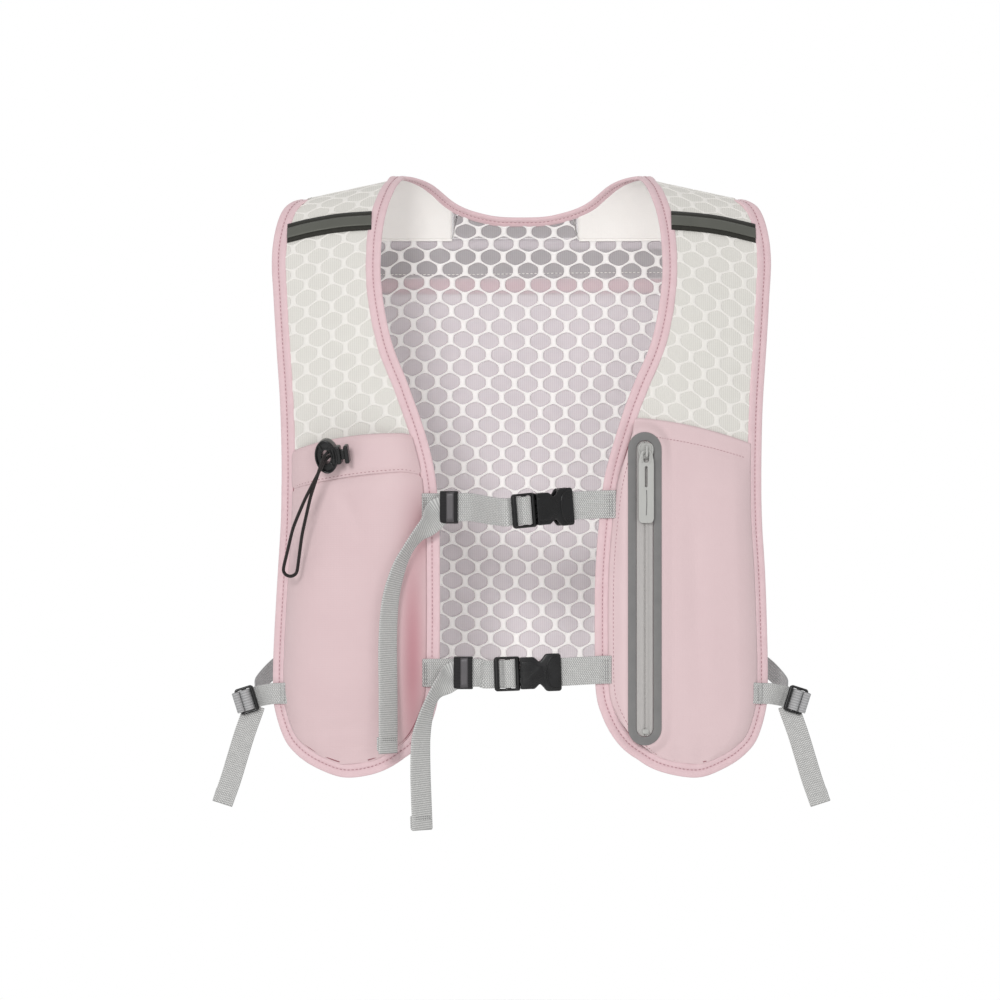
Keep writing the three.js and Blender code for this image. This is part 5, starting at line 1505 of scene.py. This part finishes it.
# ------------------------------------------------------------------ side straps
for nm, s in (("left", -1), ("right", 1)):
    C = np.array([s * 196.9, -31.0, -375.4])
    l = unit(np.array([s * 0.954, 0, -0.3]))
    w = unit(np.array([s * 0.3, 0, 0.954]))
    M, O, U, V, N = basis(C, l, w)
    f = 1 if N[1] < 0 else -1
    FN = np.array([0, -1.0, 0])

    def S(uu, n, v=0.0):
        return C + l * uu + FN * n + w * v

    body = f"side_{nm}"
    plate_ = round_poly([(-7, -8.2), (-5.6, -9.6), (5.6, -9.6), (7, -8.2), (7, 8.2), (5.6, 9.6), (-5.6, 9.6), (-7, 8.2)], 1.5, 5)
    curve_plate(f"side_lock_frame_{nm}", [plate_, round_rect(-4.6, -1.4, -7.8, 7.8, 0.8), round_rect(1.4, 4.8, -7.8, 7.8, 0.8)], 2.6, 0.9, M, "black", body=body, node=f"side_lock_{nm}", slot="buckle_plastic", res=3)
    curve_plate(f"side_lock_grip_{nm}", [round_rect(-7.0, -4.3, -9.0, 9.0, 1.2, 5)], 3.8, 1.25, M, "black", body=body, n0=0.5 * f, slot="buckle_plastic", res=4)
    # tab sewn to the panel, its end folded over
    ex, ey = s * 169.0, -(float(depth(169)) + 2.2)
    tab = [(s * 163.4, -(float(depth(163.4)) + 2.3), -370.0), (ex, ey - 0.1, -370.4), (s * 178.6, -38.4, -370.8), S(-9.6, -1.3), S(-7.0, -2.7), S(-5.0, -2.7), S(-3.4, -1.6)]
    strap(f"side_tab_{nm}_webbing", tab, [UP, UP, (s * 0.1, 0, 1), w, w, w, w], 15.0, WT, "web", node=f"side_tab_{nm}", slot="webbing")
    strap(f"side_tab_{nm}_fold", [(s * 164.2, -(float(depth(164.2)) + 3.75), -370.0), (s * 167.5, -(float(depth(167.5)) + 3.9), -370.3), (s * 172.5, -(float(depth(172.5)) + 3.2), -370.6)], [UP, UP, UP], 15.2, 1.2, "web", slot="webbing")
    for dx in (166.2, 169.6):
        row = np.array([(s * dx, -(float(depth(dx)) + 4.6) + 0.15, -370.3 + t_) for t_ in np.linspace(-6.8, 6.8, 24)])
        stitches(GREYT, row, np.repeat(FN[None], 24, 0), 2.0, 1.5, 0.22, 0.03)
    # strap from the back hem, up through the lock, over its middle bar and round its outer bar
    a = C + np.array([s * -4, 5.4, 3])
    pts = [(s * 166.5, 38.5, -345.8), (s * 170.5, 32, -348), (s * 181, 10, -356), (s * 190, -16, -366.5), S(-7.5, -4.4), S(-4.2, -2.6), S(-2.9, 0.3), S(-1.2, 2.0), S(0.6, 2.2), S(2.2, 1.2), S(3.2, -0.9), S(4.8, -2.6), S(7.0, -2.7), S(8.4, -1.2), S(8.3, 1.0), S(6.8, 2.2), S(5.2, 1.7), S(4.3, 0.2)]
    wd = [UP, UP, UP, UP] + [w] * (len(pts) - 4)
    ob, _ = strap(f"side_strap_{nm}_webbing", pts, wd, 15.0, WT, "web_dark", step=0.9, body=None, node=f"side_strap_{nm}", slot="dark_webbing")
    tuple(S(-8.5, -4.0) * MM)
    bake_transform(ob)
    # hanging end
    t0, t1 = np.array([s * 193.0, -27.2, -384.0]), np.array([s * 214.6, -24.0, -449.5])
    d_ = unit(t1 - t0)
    wd_ = unit(np.cross(d_, [0, 1.0, 0]))
    mid = (t0 + t1) / 2 + np.array([0, -0.8, 0])
    inward = np.array([0, 1.0, 0])
    pts = [t0 - d_ * 5 + np.array([0, 0.6, 0]), t0, t0 * 0.5 + mid * 0.5 + np.array([s * 0.4, -0.3, 0]), mid, mid * 0.5 + t1 * 0.5 + np.array([s * -0.4, -0.3, 0]), t1 - d_ * 1.2, t1 - d_ * 0.2 + inward * 0.3, t1 - d_ * 0.6 + inward * 1.5, t1 - d_ * 5 + inward * 1.5, t1 - d_ * 9 + inward * 1.4]
    strap(f"side_tail_{nm}_webbing", pts, [wd_] * len(pts), 15.0, WT, "web", step=1.0, body=body, node=f"side_tail_{nm}", slot="webbing")
    side_thread = Batch()
    for o_ in (6.6, 8.0):
        row = np.array([t1 - d_ * o_ + wd_ * q_ for q_ in np.linspace(-6.8, 6.8, 24)]) - inward * 0.72
        stitches(side_thread, row, np.repeat(-inward[None], 24, 0), 2.0, 1.5, 0.2, 0.03)
    side_thread.make(f"side_tail_{nm}_stitches", "thread_grey", body=body, slot="webbing")

# ------------------------------------------------------------------ cord and its lock
face = np.array([-139.4, -85.6, -201.6])
outward = unit(np.array([-0.22, -0.94, -0.25]))
across = unit(np.array([1, -0.2, 0.1]))
up_ = unit(np.cross(outward, across))
if up_[2] < 0:
    up_ = -up_
CM, CO, CU, CV, CN = basis(face, across, up_)
fn = 1 if np.dot(CN, outward) > 0 else -1


def oval(a, b, k=36):
    return [(a * math.cos(t), b * math.sin(t)) for t in np.linspace(0, 2 * math.pi, k + 1)[:-1]]


kw = dict(slot="buckle_plastic")
curve_plate("cord_lock_rim", [oval(8.2, 12.2), oval(6.7, 10.6)], 9.0, 0.7, CM, "black", body="cord_lock", node="cord_lock_body", n0=-4.5 * fn, res=3, **kw)
curve_plate("cord_lock_core", [oval(6.9, 10.8), oval(3.3, 5.0)], 7.4, 0.3, CM, "black", body="cord_lock", n0=-5.2 * fn, **kw)
curve_plate("cord_lock_boss", [oval(4.5, 6.4), oval(3.3, 5.0)], 1.6, 0.4, CM, "black", body="cord_lock", n0=-1.0 * fn, res=3, **kw)
for k, ang in enumerate((52, 128, 232, 308)):
    c, s_ = math.cos(math.radians(ang)), math.sin(math.radians(ang))
    a_ = np.array([4.1 * c, 6.0 * s_])
    b_ = np.array([7.2 * c, 11.1 * s_])
    t_ = (b_ - a_) / np.linalg.norm(b_ - a_)
    p_ = np.array([-t_[1], t_[0]]) * 0.85
    curve_plate(f"cord_lock_spoke_{k + 1}", [[tuple(a_ - p_), tuple(b_ - p_), tuple(b_ + p_), tuple(a_ + p_)]], 1.5, 0.35, CM, "black", body="cord_lock", n0=-1.0 * fn, **kw)
curve_plate("cord_lock_housing", [round_rect(5.6, 10.4, -6.6, 6.6, 1.4)], 7.4, 1.0, CM, "black", body="cord_lock", n0=-4.5 * fn, res=3, **kw)
curve_plate("cord_lock_plunger", [round_rect(9.4, 13.4, -3.5, 3.5, 0.8)], 3.8, 0.5, CM, "black", body="cord_lock_button", n0=-4.5 * fn, **kw)
curve_plate("cord_lock_cap", [round_rect(12.9, 16.2, -6.6, 6.6, 1.3)], 7.4, 1.1, CM, "black", body="cord_lock_button", node="cord_lock_button", n0=-4.5 * fn, res=3, **kw)


CORD = [
    (-127.6, -71.3, -203.6), (-132.94, -72.42, -201.37), (-134.89, -73.26, -200.73), (-136.45, -74.83, -200.58), (-137.35, -76.83, -200.93), (-139.78, -87.24, -203.87),
    (-140.51, -89.22, -204.94), (-141.54, -90.43, -206.69), (-142.65, -90.62, -208.77), (-147.73, -88.94, -218.7), (-152.82, -87.26, -228.63), (-154.71, -86.46, -232.51),
    (-156.44, -85.4, -236.4), (-161.21, -81.91, -247.74), (-162.82, -80.63, -252.07), (-164.08, -79.39, -256.52), (-166.94, -76.18, -268.53), (-169.8, -72.97, -280.54),
    (-169.81, -72.4, -282.68), (-168.85, -71.88, -284.6), (-167.13, -71.53, -285.93), (-164.98, -71.4, -286.4), (-163.28, -71.48, -286.09), (-161.76, -71.69, -285.22),
    (-160.66, -72.02, -283.88), (-160.11, -72.42, -282.25), (-158.45, -75.32, -270.52), (-156.8, -78.21, -258.8), (-156.34, -78.94, -256.02), (-155.78, -79.74, -253.28),
    (-153.54, -82.73, -243.55), (-151.31, -85.72, -233.82), (-150.07, -87.02, -229), (-148.57, -87.97, -224.17), (-145.39, -89.47, -214.76), (-142.21, -90.97, -205.35),
    (-141.37, -90.77, -203.09), (-140.52, -89.51, -201.21), (-139.83, -87.45, -200.12), (-137.32, -76.71, -197.32), (-136.45, -74.77, -196.98), (-134.92, -73.25, -197.07),
    (-132.99, -72.43, -197.58), (-127.6, -71.3, -199.4),
]


def centripetal(pts, per=10):
    p = [np.asarray(q, float) for q in pts]
    p = [2 * p[0] - p[1]] + p + [2 * p[-1] - p[-2]]
    out = []
    for i in range(1, len(p) - 2):
        a, b, c, d = p[i - 1:i + 3]
        t0, t1 = 0, np.linalg.norm(b - a) ** 0.5
        t2 = t1 + np.linalg.norm(c - b) ** 0.5
        t3 = t2 + np.linalg.norm(d - c) ** 0.5
        for t in np.linspace(t1, t2, per, endpoint=False):
            A1 = (t1 - t) / (t1 - t0) * a + (t - t0) / (t1 - t0) * b
            A2 = (t2 - t) / (t2 - t1) * b + (t - t1) / (t2 - t1) * c
            A3 = (t3 - t) / (t3 - t2) * c + (t - t2) / (t3 - t2) * d
            B1 = (t2 - t) / (t2 - t0) * A1 + (t - t0) / (t2 - t0) * A2
            B2 = (t3 - t) / (t3 - t1) * A2 + (t - t1) / (t3 - t1) * A3
            out.append((t2 - t) / (t2 - t1) * B1 + (t - t1) / (t2 - t1) * B2)
    out.append(p[-2])
    return np.array(out)


CP = resample(centripetal(CORD), step=0.9)
T = tangents(CP)
W = []
w_ = unit(np.cross(T[0], [0, 0, 1.0]))
for t in T:
    w_ = unit(w_ - t * np.dot(w_, t))
    W.append(w_)
W = np.array(W)
sec = np.array([(1.2 * math.cos(a), 1.2 * math.sin(a)) for a in np.linspace(0, 2 * math.pi, 15)[:-1]])
v, f, _ = sweep(CP, W, np.cross(T, W), sec)
sl = np.concatenate([[0], np.cumsum(np.linalg.norm(np.diff(CP, axis=0), axis=1))])
uv = np.stack([np.tile(np.arange(14) * 0.54, len(CP)), np.repeat(sl, 14)], -1)
cord = make("drawcord", v, f, "cord", uv, node="cord_loop", slot="cord")

THREAD.make("seam_stitches", "thread", slot="pink_tape")
WHITE.make("band_stitches", "thread_white", slot="white_mesh")
GREYT.make("webbing_stitches", "thread_grey", slot="webbing")

# ------------------------------------------------------------------ floor and light
me = bpy.data.meshes.new("floor")
ring = [(2.4 * math.cos(a), 2.4 * math.sin(a), -0.70) for a in np.linspace(0, 2 * math.pi, 65)[:-1]]
me.from_pydata(ring, [], [tuple(range(64))])
floor = bpy.data.objects.new("floor", me)
scene.collection.objects.link(floor)
g = Nodes("floor_pale")
g.set(color=lin("#f4f4f3"), rough=0.9)
me.materials.append(g.mat)

world = bpy.data.worlds.new("studio")
scene.world = world
world.use_nodes = True
bg = world.node_tree.nodes["Background"]
wt = world.node_tree
coord = wt.nodes.new("ShaderNodeTexCoord")
sep = wt.nodes.new("ShaderNodeSeparateXYZ")
wt.links.new(coord.outputs["Generated"], sep.inputs[0])
rng_ = wt.nodes.new("ShaderNodeMapRange")
rng_.interpolation_type = "SMOOTHSTEP"
rng_.inputs[1].default_value, rng_.inputs[2].default_value = -0.35, 0.75
rng_.inputs[3].default_value, rng_.inputs[4].default_value = 0.46, 1.0
wt.links.new(sep.outputs[1], rng_.inputs[0])
bg.inputs[0].default_value = (1, 1, 1, 1)
wt.links.new(rng_.outputs[0], bg.inputs[1])


def area(name, loc, target, size, watts, color=(1, 1, 1)):
    d = bpy.data.lights.new(name, "AREA")
    d.shape, d.size, d.energy, d.color = "DISK", size, watts, color
    o = bpy.data.objects.new(name, d)
    o.location = loc
    o.rotation_euler = (Vector(target) - Vector(loc)).to_track_quat("-Z", "Y").to_euler()
    scene.collection.objects.link(o)
    return o


area("key", (-1.5, -6.0, 1.5), (0, 0, -0.25), 1.6, 150)
area("fill", (1.2, -6.0, 0.3), (0, 0, -0.25), 2.0, 50).visible_glossy = False
scene.view_settings.view_transform = "Standard"
